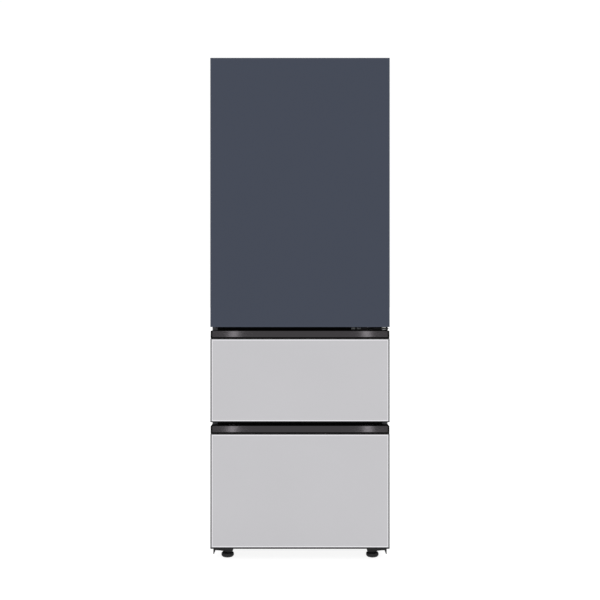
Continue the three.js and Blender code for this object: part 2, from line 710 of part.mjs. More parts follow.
// A front plate in the XZ plane from its front face, with its front edges chamfered.
function frontPanel([z0, z1]) {
  const half = WIDTH / 2;
  const c = PANEL_CHAMFER;
  const plan = [
    [-half + c, FRONT], [half - c, FRONT], [half, FRONT + c], [half, FRONT + PANEL],
    [-half, FRONT + PANEL], [-half, FRONT + c],
  ];
  return alongZ(plan, [z0, z1]);
}

// Walls of a case, open to the front and, where back is 0, to the rear.
function caseTray([z0, z1], topWall, back) {
  const half = WIDTH / 2 - CASE_INSET;
  const front = FRONT + PANEL + FIT;
  const outer = block(around(0, half), [front, CASE_REAR], [z0, z1]);
  const inside = block(
    around(0, half - CASE_WALL), [front - PAST, back ? CASE_REAR - back : CASE_REAR + PAST],
    [z0 + CASE_WALL, z1 - topWall],
  );
  return cut(outer, inside);
}

const DOOR_CASE = [DOOR_BOTTOM + CASE_INSET, HEIGHT - CASE_INSET];
const NOTCH_LOW = TOP - FIT * 4;
const CORE_HALF = WIDTH / 2 - CASE_INSET - CASE_WALL - FIT;
const CORE_Z = [DOOR_CASE[0] + CASE_WALL + FIT, DOOR_CASE[1] - CASE_TOP_WALL - FIT];

function doorCase() {
  const notch = block(
    [WIDTH / 2 - NOTCH_WIDTH - FIT * 4, WIDTH], [FRONT + PANEL - PAST, FACE], [NOTCH_LOW, HEIGHT + PAST],
  );
  const bore = PIN_RADIUS + FIT;
  const low = rod(bore, [DOOR_CASE[0] - PAST, DOOR_BOTTOM + PIN_LENGTH + FIT])
    .translate(PIN_X, PIN_Y, 0);
  const high = rod(bore, [TOP_HINGE_LOW - PIN_LENGTH - FIT, NOTCH_LOW + PAST])
    .translate(PIN_X, PIN_Y, 0);
  return cut(caseTray(DOOR_CASE, CASE_TOP_WALL, 0), notch, low, high);
}

function doorFoam() {
  return block(around(0, CORE_HALF), [FRONT + PANEL + FIT, CASE_REAR - LINER - FIT], CORE_Z);
}

const DYKE_HALF = OPENING - DYKE_INSET;
const DYKE_Z = [UPPER_FLOOR + DYKE_INSET, UPPER_CEILING - DYKE_INSET];

// Rear skin of the door, with a raised rim that carries the bins.
function doorLiner() {
  const plate = block(around(0, CORE_HALF), [CASE_REAR - LINER, CASE_REAR], CORE_Z);
  const rim = cut(
    block(around(0, DYKE_HALF), [CASE_REAR - LINER, CASE_REAR + DYKE_DEPTH], DYKE_Z),
    block(
      around(0, DYKE_HALF - DYKE_WIDTH), [CASE_REAR - LINER * 2, CASE_REAR + DYKE_DEPTH + PAST],
      [DYKE_Z[0] + DYKE_WIDTH, DYKE_Z[1] - DYKE_WIDTH],
    ),
  );
  const reach = DYKE_HALF - DYKE_WIDTH - LEDGE_WIDTH / 2;
  const ledges = BIN_HEIGHTS.flatMap((height) => [-1, 1].map((side) => block(
    around(side * reach, LEDGE_WIDTH / 2 + PAST), [CASE_REAR - LINER / 2, CASE_REAR + DYKE_DEPTH],
    [UPPER_FLOOR + height - LEDGE_HEIGHT, UPPER_FLOOR + height - FIT],
  )));
  return join(plate, rim, ...ledges);
}

function gasket([z0, z1]) {
  const half = WIDTH / 2 - GASKET_INSET;
  const deep = [CASE_REAR + FIT, FACE - FIT];
  const inside = block(
    around(0, half - GASKET_WIDTH), [CASE_REAR - PAST, FACE + PAST],
    [z0 + GASKET_WIDTH, z1 - GASKET_WIDTH],
  );
  return cut(block(around(0, half), deep, [z0, z1]), inside);
}

// An open bin between the sides of the door liner's rim.
function doorBin() {
  const half = DYKE_HALF - DYKE_WIDTH - FIT;
  const outer = block(around(0, half), [0, BIN_DEPTH], [0, BIN_HEIGHT]);
  const inside = block(
    around(0, half - BIN_WALL), [BIN_WALL, BIN_DEPTH - BIN_WALL], [BIN_WALL, BIN_HEIGHT + PAST],
  );
  return cut(outer, inside);
}

// ---------- upper compartment ----------

function shelf() {
  const half = OPENING - FIT * 3;
  const front = FACE + SHELF_FRONT;
  const nose = front + SHELF_NOSE_THICKNESS;
  const back = DUCT_Y - DUCT_THICKNESS - FIT;
  return alongX([
    [front, SHELF_THICKNESS - SHELF_NOSE], [nose, SHELF_THICKNESS - SHELF_NOSE],
    [nose, 0], [back, 0], [back, SHELF_THICKNESS], [front, SHELF_THICKNESS],
  ], around(0, half));
}

// Cover in front of the evaporator, with louvres, side walls back to the liner and a fan shaft.
function ductCover() {
  const back = LINER_BACK - FIT;
  const outer = block(around(0, DUCT_HALF), [DUCT_Y, back], [DUCT_BASE, DUCT_HIGH]);
  const inside = block(
    around(0, DUCT_HALF - DUCT_THICKNESS), [DUCT_Y + DUCT_THICKNESS, back + PAST],
    [DUCT_BASE + DUCT_THICKNESS, DUCT_HIGH - DUCT_THICKNESS],
  );
  const tops = [...SHELF_HEIGHTS.map((height) => UPPER_FLOOR + height), DUCT_HIGH];
  const louvres = tops.flatMap((top) => [-1, 1].map((side) => block(
    around(side * LOUVRE_X, LOUVRE_LENGTH / 2), [DUCT_Y - PAST, DUCT_Y + DUCT_THICKNESS + PAST],
    around(top - LOUVRE_DROP, LOUVRE_HEIGHT / 2),
  )));
  const shaft = rod(SHAFT_RADIUS, [-DUCT_SPACE / 2 - FAN_WIDTH / 2, -DUCT_THICKNESS / 2], 12)
    .rotateX(Math.PI / 2)
    .translate(0, DUCT_Y, DUCT_BASE + CIRCULATION_HEIGHT);
  return join(cut(outer, inside, ...louvres), shaft);
}

const FAN_Y = DUCT_Y + DUCT_SPACE / 2;

function evaporator() {
  const reach = DUCT_HALF - DUCT_THICKNESS - COIL_SIDE_GAP;
  const fins = [];
  for (let i = 0; i < COIL_FINS; i += 1) {
    const x = (2 * i / (COIL_FINS - 1) - 1) * (reach - PIPE_RADIUS);
    fins.push(block(around(x, FIN / 2), around(0, COIL_DEPTH / 2), [0, COIL_HEIGHT]));
  }
  const pipes = COIL_PIPES.map((share) => block(
    around(0, reach), around(0, PIPE_RADIUS), around(COIL_HEIGHT * share, PIPE_RADIUS),
  ));
  return join(...fins, ...pipes);
}

const PANEL_BOX_Y = FACE + SHELF_FRONT + PANEL_BOX_DEPTH / 2;

function controlPanel() {
  const high = UPPER_CEILING - FIT;
  const low = high - PANEL_BOX_HEIGHT;
  const across = around(0, PANEL_BOX_WIDTH / 2);
  const deep = around(PANEL_BOX_Y, PANEL_BOX_DEPTH / 2);
  const wall = PANEL_BOX_WALL;
  const inside = block(
    [across[0] + wall, across[1] - wall], [deep[0] + wall, deep[1] - wall], [low + wall, high + PAST],
  );
  const holes = [-1, 1].map((side) => rod(BUTTON_RADIUS + FIT, [low - PAST, low + wall + PAST])
    .translate(side * BUTTON_X, PANEL_BOX_Y, 0));
  return cut(block(across, deep, [low, high]), inside, ...holes);
}

// A push button that is pressed upwards; its collar rests on the panel round the hole.
function button() {
  const collar = BUTTON_RADIUS + BUTTON_COLLAR;
  const seat = BUTTON_PROUD + PANEL_BOX_WALL + FIT;
  const shoulder = seat + BUTTON_COLLAR;
  return turned([
    [0, 0], [BUTTON_RADIUS - BUTTON_CHAMFER, 0], [BUTTON_RADIUS, BUTTON_CHAMFER],
    [BUTTON_RADIUS, seat], [collar, seat], [collar, shoulder], [BUTTON_STEM_RADIUS, shoulder],
    [BUTTON_STEM_RADIUS, BUTTON_HEIGHT], [0, BUTTON_HEIGHT],
  ]);
}

function lamp() {
  const c = LAMP_CHAMFER;
  const half = LAMP_WIDTH / 2;
  return alongY([
    [-half, LAMP_HEIGHT], [-half, c], [-half + c, 0], [half - c, 0], [half, c], [half, LAMP_HEIGHT],
  ], around(0, LAMP_DEPTH / 2));
}

// ---------- drawers ----------

// Rails run back from their front end, seen for the right side; side -1 mirrors them.
const FIXED_Y = FACE + RAIL_START;
const RAIL_LENGTH = LINER_BACK - RAIL_GAP - FIXED_Y;
const RAIL_BACK = OPENING - FIT;                       // against the liner
const FLANGE_IN = RAIL_BACK - RAIL_DEPTH;
const SLIDER_BACK = RAIL_BACK - RAIL_WALL - SLIDE_CLEAR;
const SLIDER_HALF = RAIL_HEIGHT / 2 - RAIL_WALL - SLIDE_CLEAR;
const ARM_BACK = SLIDER_BACK - RAIL_WALL - SLIDE_CLEAR;
const ARM_HALF = SLIDER_HALF - RAIL_WALL - SLIDE_CLEAR;
const ARM_IN = FLANGE_IN - SLIDE_CLEAR - ARM_WEB;
const RIM_LEVEL = RAIL_HEIGHT / 2 + RIM_CLEAR;         // top of an arm above the rail centre
const BOX_HALF = ARM_IN - FIT * 3;

function mirrored(points, side) {
  return side > 0 ? points : points.map(([x, z]) => [-x, z]).reverse();
}

function channel(back, half, length, side) {
  const points = [
    [back, -half], [back, half], [FLANGE_IN, half], [FLANGE_IN, half - RAIL_WALL],
    [back - RAIL_WALL, half - RAIL_WALL], [back - RAIL_WALL, -half + RAIL_WALL],
    [FLANGE_IN, -half + RAIL_WALL], [FLANGE_IN, -half],
  ];
  return alongY(mirrored(points, side), [0, length]);
}

// Both arms and the plate that joins them behind the drawer front.
function drawerFrame() {
  const arm = [
    [ARM_BACK, -ARM_HALF], [ARM_BACK, ARM_HALF], [ARM_IN + ARM_WEB, ARM_HALF],
    [ARM_IN + ARM_WEB, RIM_LEVEL], [ARM_IN, RIM_LEVEL], [ARM_IN, -ARM_HALF],
  ];
  const arms = [-1, 1].map((side) => alongY(mirrored(arm, side), [0, RAIL_LENGTH - ARM_SHORTER]));
  return join(block(around(0, ARM_BACK), [0, FRAME_PLATE], [-ARM_HALF, ARM_HALF]), ...arms);
}

// A tub that hangs by its rim on the arms; its local z = 0 is the underside of the rim.
function drawerBox(depth, height) {
  const outer = block(around(0, BOX_HALF), [0, depth], [-height, BOX_RIM_THICKNESS]);
  const rim = block(around(0, BOX_HALF + BOX_RIM), [0, depth], [0, BOX_RIM_THICKNESS]);
  const inside = block(
    around(0, BOX_HALF - BOX_WALL), [BOX_WALL, depth - BOX_WALL],
    [-height + BOX_WALL, BOX_RIM_THICKNESS + PAST],
  );
  return cut(join(outer, rim), inside);
}

// Case of a drawer front: full depth behind the panel, and only its rear part behind the handle.
function drawerCase(bottom, panelTop) {
  const rear = [SCOOP_REAR + FIT, CASE_REAR];
  const half = WIDTH / 2 - CASE_INSET;
  return join(
    caseTray([bottom + CASE_INSET, panelTop - FIT], CASE_WALL, CASE_BACK),
    block(around(0, half), rear, [panelTop - CASE_WALL, panelTop + HANDLE_HEIGHT]),
  );
}

const LIP_FRONT = FRONT + LIP_SETBACK;
const SCOOP_REAR = LIP_FRONT + LIP_LEAN + LIP_THICKNESS + SCOOP_WIDTH + SCOOP_FLOOR;

// Leaning front lip, a finger scoop behind it and an upstand against the case.
function handle() {
  const h = HANDLE_HEIGHT;
  const lipTop = LIP_FRONT + LIP_LEAN;
  const lipBack = lipTop + LIP_THICKNESS;
  const rear = SCOOP_REAR - SCOOP_FLOOR;
  const bend = SCOOP_FLOOR + SCOOP_FILLET;
  const profile = alongX([
    [LIP_FRONT, 0], [SCOOP_REAR, 0], [SCOOP_REAR, h - PAST], [rear, h - PAST],
    [rear, bend], [rear - SCOOP_FILLET, SCOOP_FLOOR], [lipBack + SCOOP_FILLET, SCOOP_FLOOR],
    [lipBack, bend], [lipBack, h - LIP_EDGE], [lipBack - LIP_EDGE, h], [lipTop + LIP_EDGE, h],
    [lipTop, h - LIP_EDGE],
  ], around(0, WIDTH / 2 - CASE_INSET));
  const corners = [-1, 1].map((side) => {
    const edge = side * (WIDTH / 2 - CASE_INSET);
    const points = [
      [edge - side * HANDLE_CORNER, h + PAST], [edge, h - HANDLE_CORNER], [edge + side, h + PAST],
    ];
    return alongY(side > 0 ? points : points.reverse(), [FRONT, SCOOP_REAR + PAST]);
  });
  return cut(profile, ...corners);
}

// ---------- assemblies ----------

function fixedRails(row, level) {
  return [['left', -1], ['right', 1]].map(([word, side]) => piece(
    `${row}_rail_${word}`, channel(RAIL_BACK, RAIL_HEIGHT / 2, RAIL_LENGTH, side), ZINC,
    [0, FIXED_Y, level],
  ));
}

function sliders(row, level) {
  return [['left', -1], ['right', 1]].map(([word, side]) => piece(
    `${row}_slider_${word}`, channel(SLIDER_BACK, SLIDER_HALF, RAIL_LENGTH - SLIDER_SHORTER, side),
    ZINC, [0, FIXED_Y + SLIDER_START, level],
  ));
}

function drawer(row, bottom, panelHeight, railRise, boxBack, boxHeight) {
  const panelTop = bottom + panelHeight;
  const top = panelTop + HANDLE_HEIGHT;
  const level = bottom + railRise;
  const gasketZ = [bottom + GASKET_INSET, top - GASKET_INSET];
  const frameY = CASE_REAR + FIT;
  const boxY = frameY + FRAME_PLATE + FIT;
  return assembly(
    [0, 0, 0],
    piece(`${row}_drawer_panel`, frontPanel([bottom, panelTop]), LIGHT_GREY),
    piece(`${row}_drawer_case`, drawerCase(bottom, panelTop), BLACK),
    piece(`${row}_drawer_handle`, handle(), DARK_METAL, [0, 0, panelTop + FIT]),
    piece(`${row}_drawer_gasket`, gasket(gasketZ), RUBBER),
    piece(`${row}_drawer_frame`, drawerFrame(), ZINC, [0, frameY, level]),
    piece(
      `${row}_drawer_box`, drawerBox(boxBack - boxY, boxHeight), WHITE_PLASTIC,
      [0, boxY, level + RIM_LEVEL + FIT],
    ),
  );
}

const MIDDLE_RAIL = MIDDLE_BOTTOM + MIDDLE_RAIL_RISE;
const LOWER_RAIL = FRONT_BOTTOM + LOWER_RAIL_RISE;
const DOOR_GASKET_Z = [DOOR_BOTTOM + GASKET_INSET, TOP - GASKET_INSET];

const shell = assembly(
  [0, 0, 0],
  piece('side_panel_left', sidePanel(-1), CHARCOAL),
  piece('side_panel_right', sidePanel(1), CHARCOAL),
  piece('top_panel', topPanel(), CHARCOAL),
  piece('back_panel', backPanel(), CHARCOAL),
  piece('cabinet_foam', cabinetFoam(), FOAM),
  piece('upper_liner', liner(UPPER_ROOM, shelfLedges()), WHITE_PLASTIC),
  piece('middle_liner', liner(MIDDLE_ROOM), WHITE_PLASTIC),
  piece('lower_liner', liner(LOWER_ROOM), WHITE_PLASTIC),
  piece('upper_mullion', mullion(MIDDLE_ROOM, UPPER_ROOM), BLACK),
  piece('lower_mullion', mullion(LOWER_ROOM, MIDDLE_ROOM), BLACK),
  piece('machine_cover', machineCover(), CHARCOAL),
  piece('cord_gland', cordGland(), RUBBER, [GLAND_X, BACK, GLAND_Z]),
  piece('top_hinge', topHinge(), ZINC),
  piece('top_hinge_cover', topHingeCover(), BLACK),
  piece('middle_hinge', middleHinge(), ZINC),
);

const base = assembly(
  [0, 0, 0],
  piece('base_frame', baseFrame(), BLACK),
  piece('front_leg_left', foot(), BLACK, [-FOOT_X, FOOT_Y, 0]),
  piece('front_leg_right', foot(), BLACK, [FOOT_X, FOOT_Y, 0]),
  piece('rear_wheel_left', wheel(), BLACK, [-WHEEL_X, WHEEL_Y, WHEEL_RADIUS]),
  piece('rear_wheel_right', wheel(), BLACK, [WHEEL_X, WHEEL_Y, WHEEL_RADIUS]),
);

const FLOOR = BASE_TOP + FIT;

const machine = assembly(
  [0, MACHINE_Y, FLOOR],
  piece('compressor', compressor(), COPPER_BLACK, [COMPRESSOR_X, 0, 0]),
  piece('condenser', condenser(), ALUMINIUM, [CONDENSER_X, 0, 0]),
  piece(
    'condenser_fan', fan(CONDENSER_FAN_RADIUS).rotateY(Math.PI / 2), BLACK,
    [FAN_X, 0, CONDENSER_HEIGHT / 2],
  ),
  piece('evaporation_tray', tray(), BLACK, [0, 0, 0]),
);

const SHELF_LIFT = UPPER_FLOOR + FIT;
const LAMP_Y = PANEL_BOX_Y + (PANEL_BOX_DEPTH + LAMP_DEPTH) / 2 + LAMP_GAP;
const BUTTON_Z = UPPER_CEILING - FIT - PANEL_BOX_HEIGHT - BUTTON_PROUD;

const inside = assembly(
  [0, 0, 0],
  piece('shelf_lower', shelf(), CLEAR_PLASTIC, [0, 0, SHELF_LIFT + SHELF_HEIGHTS[0]]),
  piece('shelf_upper', shelf(), CLEAR_PLASTIC, [0, 0, SHELF_LIFT + SHELF_HEIGHTS[1]]),
  piece('duct_cover', ductCover(), WHITE_PLASTIC),
  piece('evaporator', evaporator(), ALUMINIUM, [0, FAN_Y, DUCT_BASE + DUCT_THICKNESS + FIT]),
  piece(
    'circulation_fan', fan(CIRCULATION_FAN_RADIUS).rotateX(Math.PI / 2), WHITE_PLASTIC,
    [0, FAN_Y, DUCT_BASE + CIRCULATION_HEIGHT],
  ),
  piece('control_panel', controlPanel(), WHITE_PLASTIC),
  piece('power_button', button(), BUTTON_GREY, [-BUTTON_X, PANEL_BOX_Y, BUTTON_Z]),
  piece('mode_button', button(), BUTTON_GREY, [BUTTON_X, PANEL_BOX_Y, BUTTON_Z]),
  piece(
    'interior_lamp', lamp(), CLEAR_PLASTIC,
    [0, LAMP_Y, UPPER_CEILING - FIT - LAMP_HEIGHT],
  ),
);

const door = assembly(
  [0, 0, 0],
  piece('door_panel', frontPanel([DOOR_BOTTOM, HEIGHT]), NAVY),
  piece('door_case', doorCase(), BLACK),
  piece('door_foam', doorFoam(), FOAM),
  piece('door_liner', doorLiner(), WHITE_PLASTIC),
  piece('door_gasket', gasket(DOOR_GASKET_Z), RUBBER),
  piece('door_bin_lower', doorBin(), CLEAR_PLASTIC, [0, CASE_REAR + FIT, UPPER_FLOOR + BIN_HEIGHTS[0]]),
  piece('door_bin_upper', doorBin(), CLEAR_PLASTIC, [0, CASE_REAR + FIT, UPPER_FLOOR + BIN_HEIGHTS[1]]),
);

const refrigerator = assembly(
  [0, 0, 0], shell, base, machine, inside, door,
  ...fixedRails('middle', MIDDLE_RAIL), ...sliders('middle', MIDDLE_RAIL),
  ...fixedRails('lower', LOWER_RAIL), ...sliders('lower', LOWER_RAIL),
  drawer(
    'middle', MIDDLE_BOTTOM, MIDDLE_PANEL_HEIGHT, MIDDLE_RAIL_RISE, LINER_BACK - MIDDLE_BOX_GAP,
    MIDDLE_BOX_HEIGHT,
  ),
  drawer(
    'lower', FRONT_BOTTOM, LOWER_PANEL_HEIGHT, LOWER_RAIL_RISE, STEP_FRONT - LOWER_BOX_GAP,
    LOWER_BOX_HEIGHT,
  ),
);
refrigerator.name = 'kimchi_refrigerator';

export default refrigerator;
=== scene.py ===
"""Kimchi refrigerator: the finishes and fine shapes of its pieces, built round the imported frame.

The pieces and the tools that make them are in millimetres, and the stage is in metres. X points
right, Y to the back and Z up.
"""

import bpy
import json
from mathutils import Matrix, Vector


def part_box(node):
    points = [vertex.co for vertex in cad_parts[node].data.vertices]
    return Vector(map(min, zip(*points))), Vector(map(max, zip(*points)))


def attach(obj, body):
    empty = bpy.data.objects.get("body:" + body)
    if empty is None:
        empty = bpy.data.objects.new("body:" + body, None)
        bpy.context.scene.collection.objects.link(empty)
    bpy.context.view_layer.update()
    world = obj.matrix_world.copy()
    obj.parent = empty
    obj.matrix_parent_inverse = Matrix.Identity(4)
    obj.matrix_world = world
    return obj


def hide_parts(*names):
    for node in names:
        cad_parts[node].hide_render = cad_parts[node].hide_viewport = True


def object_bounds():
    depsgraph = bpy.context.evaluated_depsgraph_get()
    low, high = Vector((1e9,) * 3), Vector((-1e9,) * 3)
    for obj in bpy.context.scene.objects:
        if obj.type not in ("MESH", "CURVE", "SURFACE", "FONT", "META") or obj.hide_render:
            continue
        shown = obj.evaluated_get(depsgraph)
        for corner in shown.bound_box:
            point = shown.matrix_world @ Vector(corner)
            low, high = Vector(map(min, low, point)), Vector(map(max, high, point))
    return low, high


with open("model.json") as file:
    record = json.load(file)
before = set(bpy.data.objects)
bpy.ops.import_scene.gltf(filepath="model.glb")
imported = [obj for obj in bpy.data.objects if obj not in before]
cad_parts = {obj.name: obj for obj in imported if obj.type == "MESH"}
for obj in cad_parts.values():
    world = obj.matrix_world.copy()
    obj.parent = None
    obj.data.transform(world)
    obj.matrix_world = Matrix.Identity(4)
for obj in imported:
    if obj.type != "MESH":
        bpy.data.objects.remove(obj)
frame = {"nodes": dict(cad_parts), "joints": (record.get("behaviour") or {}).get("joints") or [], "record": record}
cad_box = [list(corner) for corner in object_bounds()]

import json
import math

import bmesh
import bpy
from bpy.props import FloatProperty, FloatVectorProperty, IntProperty, PointerProperty
from mathutils import Matrix, Vector

bl_info = {
    "name": "Kimchi refrigerator looks",
    "version": (1, 0, 0),
    "blender": (4, 5, 0),
    "location": "3D View > Sidebar > Refrigerator",
    "description": "Dresses the kimchi refrigerator: fronts, trims, feet, cabinet and inside",
    "category": "Object",
}

MM = 0.001
ACROSS = Vector((1, 0, 0))
BACK = Vector((0, 1, 0))
UP = Vector((0, 0, 1))
FACING = 0.99                   # cosine above which a face or edge counts as pointing one way
TOUCH = 0.01                    # two places this near, in mm, are one
SIDES = ((-1, "left"), (1, "right"))
ROWS = ("middle", "lower")
SHELVES = ("shelf_lower", "shelf_upper")


# ---------- settings ----------

class FINISH_PG_settings(bpy.types.PropertyGroup):
    """Colours and gloss of the visible finishes."""

    door_colour: FloatVectorProperty(
        name="Door colour", description="Coat of the tall door", subtype="COLOR", size=3,
        default=(0.0382, 0.0464, 0.069), min=0, max=1)
    drawer_colour: FloatVectorProperty(
        name="Drawer colour", description="Coat of the two drawer fronts", subtype="COLOR", size=3,
        default=(0.486, 0.481, 0.498), min=0, max=1)
    trim_colour: FloatVectorProperty(
        name="Trim colour", description="Brushed metal of the handle trims", subtype="COLOR", size=3,
        default=(0.049, 0.046, 0.049), min=0, max=1)
    cabinet_colour: FloatVectorProperty(
        name="Cabinet colour", description="Coat of the sides, top and back", subtype="COLOR", size=3,
        default=(0.062, 0.065, 0.072), min=0, max=1)
    liner_colour: FloatVectorProperty(
        name="Liner colour", description="Plastic of the compartments", subtype="COLOR", size=3,
        default=(0.80, 0.81, 0.82), min=0, max=1)
    coat_roughness: FloatProperty(
        name="Coat roughness", description="Gloss of the front coats", subtype="FACTOR",
        default=0.52, min=0, max=1)


class SHAPE_PG_settings(bpy.types.PropertyGroup):
    """Small radii and counts of the modelled shapes."""

    panel_edge: FloatProperty(
        name="Panel edge", description="Roll of a front panel's left and right edges",
        default=5.2 * MM, min=0.5 * MM, max=6 * MM, unit="LENGTH")
    fine_edge: FloatProperty(
        name="Fine edge", description="Measure of the finest rounding of a front panel",
        default=0.8 * MM, min=0.1 * MM, max=3 * MM, unit="LENGTH")
    # the lit edge is a painted highlight: a line in a lighter copy of the front's coat
    lit_edge: FloatProperty(
        name="Lit edge", description="Width of the bright line inside a front panel's rim",
        default=3.4 * MM, min=0.5 * MM, max=5 * MM, unit="LENGTH")
    liner_corner: FloatProperty(
        name="Liner corner", description="Inner corner radius of the compartments",
        default=26 * MM, min=2 * MM, max=60 * MM, unit="LENGTH")
    knurls: IntProperty(
        name="Foot knurls", description="Grips round a levelling foot", default=36, min=8, max=90)


def setting(name):
    """One of the lengths of the shape settings, in millimetres."""
    return getattr(bpy.context.scene.refrigerator_shape, name) / MM


# ---------- materials ----------

class Value:
    """An output socket that can be added and multiplied."""

    def __init__(self, paint, socket):
        self.paint = paint
        self.socket = socket

    def _maths(self, operation, first, second):
        node = self.paint.node("ShaderNodeMath", {"operation": operation}, {0: first, 1: second})
        return Value(self.paint, node.outputs[0])

    def __add__(self, other):
        return self._maths("ADD", self, other)

    def __radd__(self, other):
        return self._maths("ADD", other, self)

    def __mul__(self, other):
        return self._maths("MULTIPLY", self, other)


class Paint:
    """Builds one node material round a single shader."""

    def __init__(self, name, colour, roughness, metallic=0.0, **fixed):
        self.colour = colour
        self.material = bpy.data.materials.new(name)
        self.material.use_nodes = True
        self.material.diffuse_color = (*colour, 1)
        self.tree = self.material.node_tree
        self.shader = self.tree.nodes["Principled BSDF"]
        fixed.update(Base_Color=(*colour, 1), Roughness=roughness, Metallic=metallic)
        for socket, value in fixed.items():
            self.shader.inputs[socket.replace("_", " ")].default_value = value

    def node(self, kind, settings, sockets):
        made = self.tree.nodes.new(kind)
        for name, value in settings.items():
            setattr(made, name, value)
        for socket, value in sockets.items():
            if isinstance(value, Value):
                self.tree.links.new(value.socket, made.inputs[socket])
            else:
                made.inputs[socket].default_value = value
        return made

    def place(self, stretch):
        coordinates = self.node("ShaderNodeTexCoord", {}, {})
        spot = Value(self, coordinates.outputs["Object"])
        mapping = self.node("ShaderNodeMapping", {}, {"Vector": spot, "Scale": stretch})
        return Value(self, mapping.outputs[0])

    def noise(self, scale, detail, stretch=(1, 1, 1), rough=0.5):
        node = self.node("ShaderNodeTexNoise", {}, {
            "Vector": self.place(stretch), "Scale": scale, "Detail": detail, "Roughness": rough})
        return Value(self, node.outputs["Fac"])

    def cells(self, scale, output="Distance", feature="F1"):
        node = self.node("ShaderNodeTexVoronoi", {"feature": feature}, {
            "Vector": self.place((1, 1, 1)), "Scale": scale})
        return Value(self, node.outputs[output])

    def link(self, socket, value):
        self.tree.links.new(value.socket, self.shader.inputs[socket])

    def mix(self, factor, first, second):
        """Mixes two colours by a factor into the base colour."""
        node = self.node("ShaderNodeMix", {"data_type": "RGBA"}, {
            "Factor": factor, 6: (*first, 1), 7: (*second, 1)})
        mixed = Value(self, node.outputs[2])
        self.link("Base Color", mixed)
        return mixed

    def vary(self, factor, darker, lighter):
        """Shades the base colour between two tints of it."""
        return self.mix(factor, tint(self.colour, darker), tint(self.colour, lighter))

    def bump(self, height, strength, distance):
        """Adds relief, its depth in millimetres, and gives the finished material."""
        node = self.node("ShaderNodeBump", {}, {
            "Height": height, "Strength": strength, "Distance": distance * MM})
        self.tree.links.new(node.outputs[0], self.shader.inputs["Normal"])
        return self.material


def tint(colour, amount):
    return tuple(min(1.0, part * amount) for part in colour)


def coat(name, colour, roughness, grain=900, relief=0.04):
    """Matt coated steel: a very fine pebble, slight cloud in the colour and dull spots."""
    made = Paint(name, colour, roughness, Specular_IOR_Level=0.22)
    cloud, speck = made.noise(3.5, 3), made.noise(grain, 2)
    made.vary(cloud, 0.975, 1.025)
    made.link("Roughness", roughness - 0.04 + cloud * 0.04 + speck * 0.05)
    return made.bump(speck, relief, 0.2)


def brushed(name, colour, roughness, lines, relief=0.12):
    """Brushed metal; lines is the scale of its grain along X, Y and Z."""
    made = Paint(name, colour, roughness, 1.0)
    grain, cloud = made.noise(1, 3, lines, 0.6), made.noise(6, 2)
    made.vary(grain, 0.78, 1.25)
    made.link("Roughness", roughness - 0.06 + grain * 0.1 + cloud * 0.04)
    return made.bump(grain, relief, 0.15)


def moulded(name, colour, roughness, grain, relief, gloss=0.5):
    """Moulded plastic: spark-eroded grain with a slight change of gloss."""
    made = Paint(name, colour, roughness, Specular_IOR_Level=gloss)
    pebble, cloud = made.cells(grain), made.noise(5, 2)
    made.vary(cloud, 0.96, 1.04)
    made.link("Roughness", roughness - 0.03 + cloud * 0.06 + pebble * 0.04)
    return made.bump(pebble, relief, 0.15)


def textured_steel(name, colour, roughness):
    """Coated cabinet steel with a fine leather-like emboss."""
    made = Paint(name, colour, roughness, 0.25)
    emboss = made.cells(260, feature="SMOOTH_F1")
    made.vary(made.noise(2.5, 3), 0.95, 1.04)
    made.link("Roughness", roughness + emboss * 0.08)
    return made.bump(emboss, 0.25, 0.4)


def zinc(name, colour):
    """Zinc plate with faint spangle."""
    made = Paint(name, colour, 0.32, 1.0)
    spangle = made.node("ShaderNodeRGBToBW", {}, {0: made.cells(140, "Color")})
    cloud = made.noise(30, 3)
    made.vary(cloud, 0.86, 1.08)
    made.link("Roughness", 0.26 + cloud * 0.14)
    return made.bump(Value(made, spangle.outputs[0]), 0.03, 0.1)


def clear(name, colour, roughness, alpha):
    """Clear plastic or glass, faintly tinted, with moulding ripples."""
    made = Paint(name, colour, roughness, Alpha=alpha, IOR=1.5)
    ripple = made.noise(9, 2)
    made.vary(ripple, 0.97, 1)
    made.link("Roughness", roughness + ripple * 0.05)
    return made.bump(ripple, 0.03, 1)


def glow(name, colour, strength):
    """A frosted lens with a lamp behind it."""
    made = Paint(name, colour, 0.45, Emission_Strength=strength)
    frost = made.noise(260, 2)
    made.link("Emission Color", made.vary(frost, 0.94, 1))
    return made.bump(frost, 0.08, 0.3)


def foam(name, colour, roughness):
    """Foam with open pores."""
    made = Paint(name, colour, roughness)
    pores = made.cells(300)
    made.mix(pores, (0.62, 0.53, 0.32), (0.8, 0.72, 0.48))
    return made.bump(pores, 0.5, 1)


finishes = {}


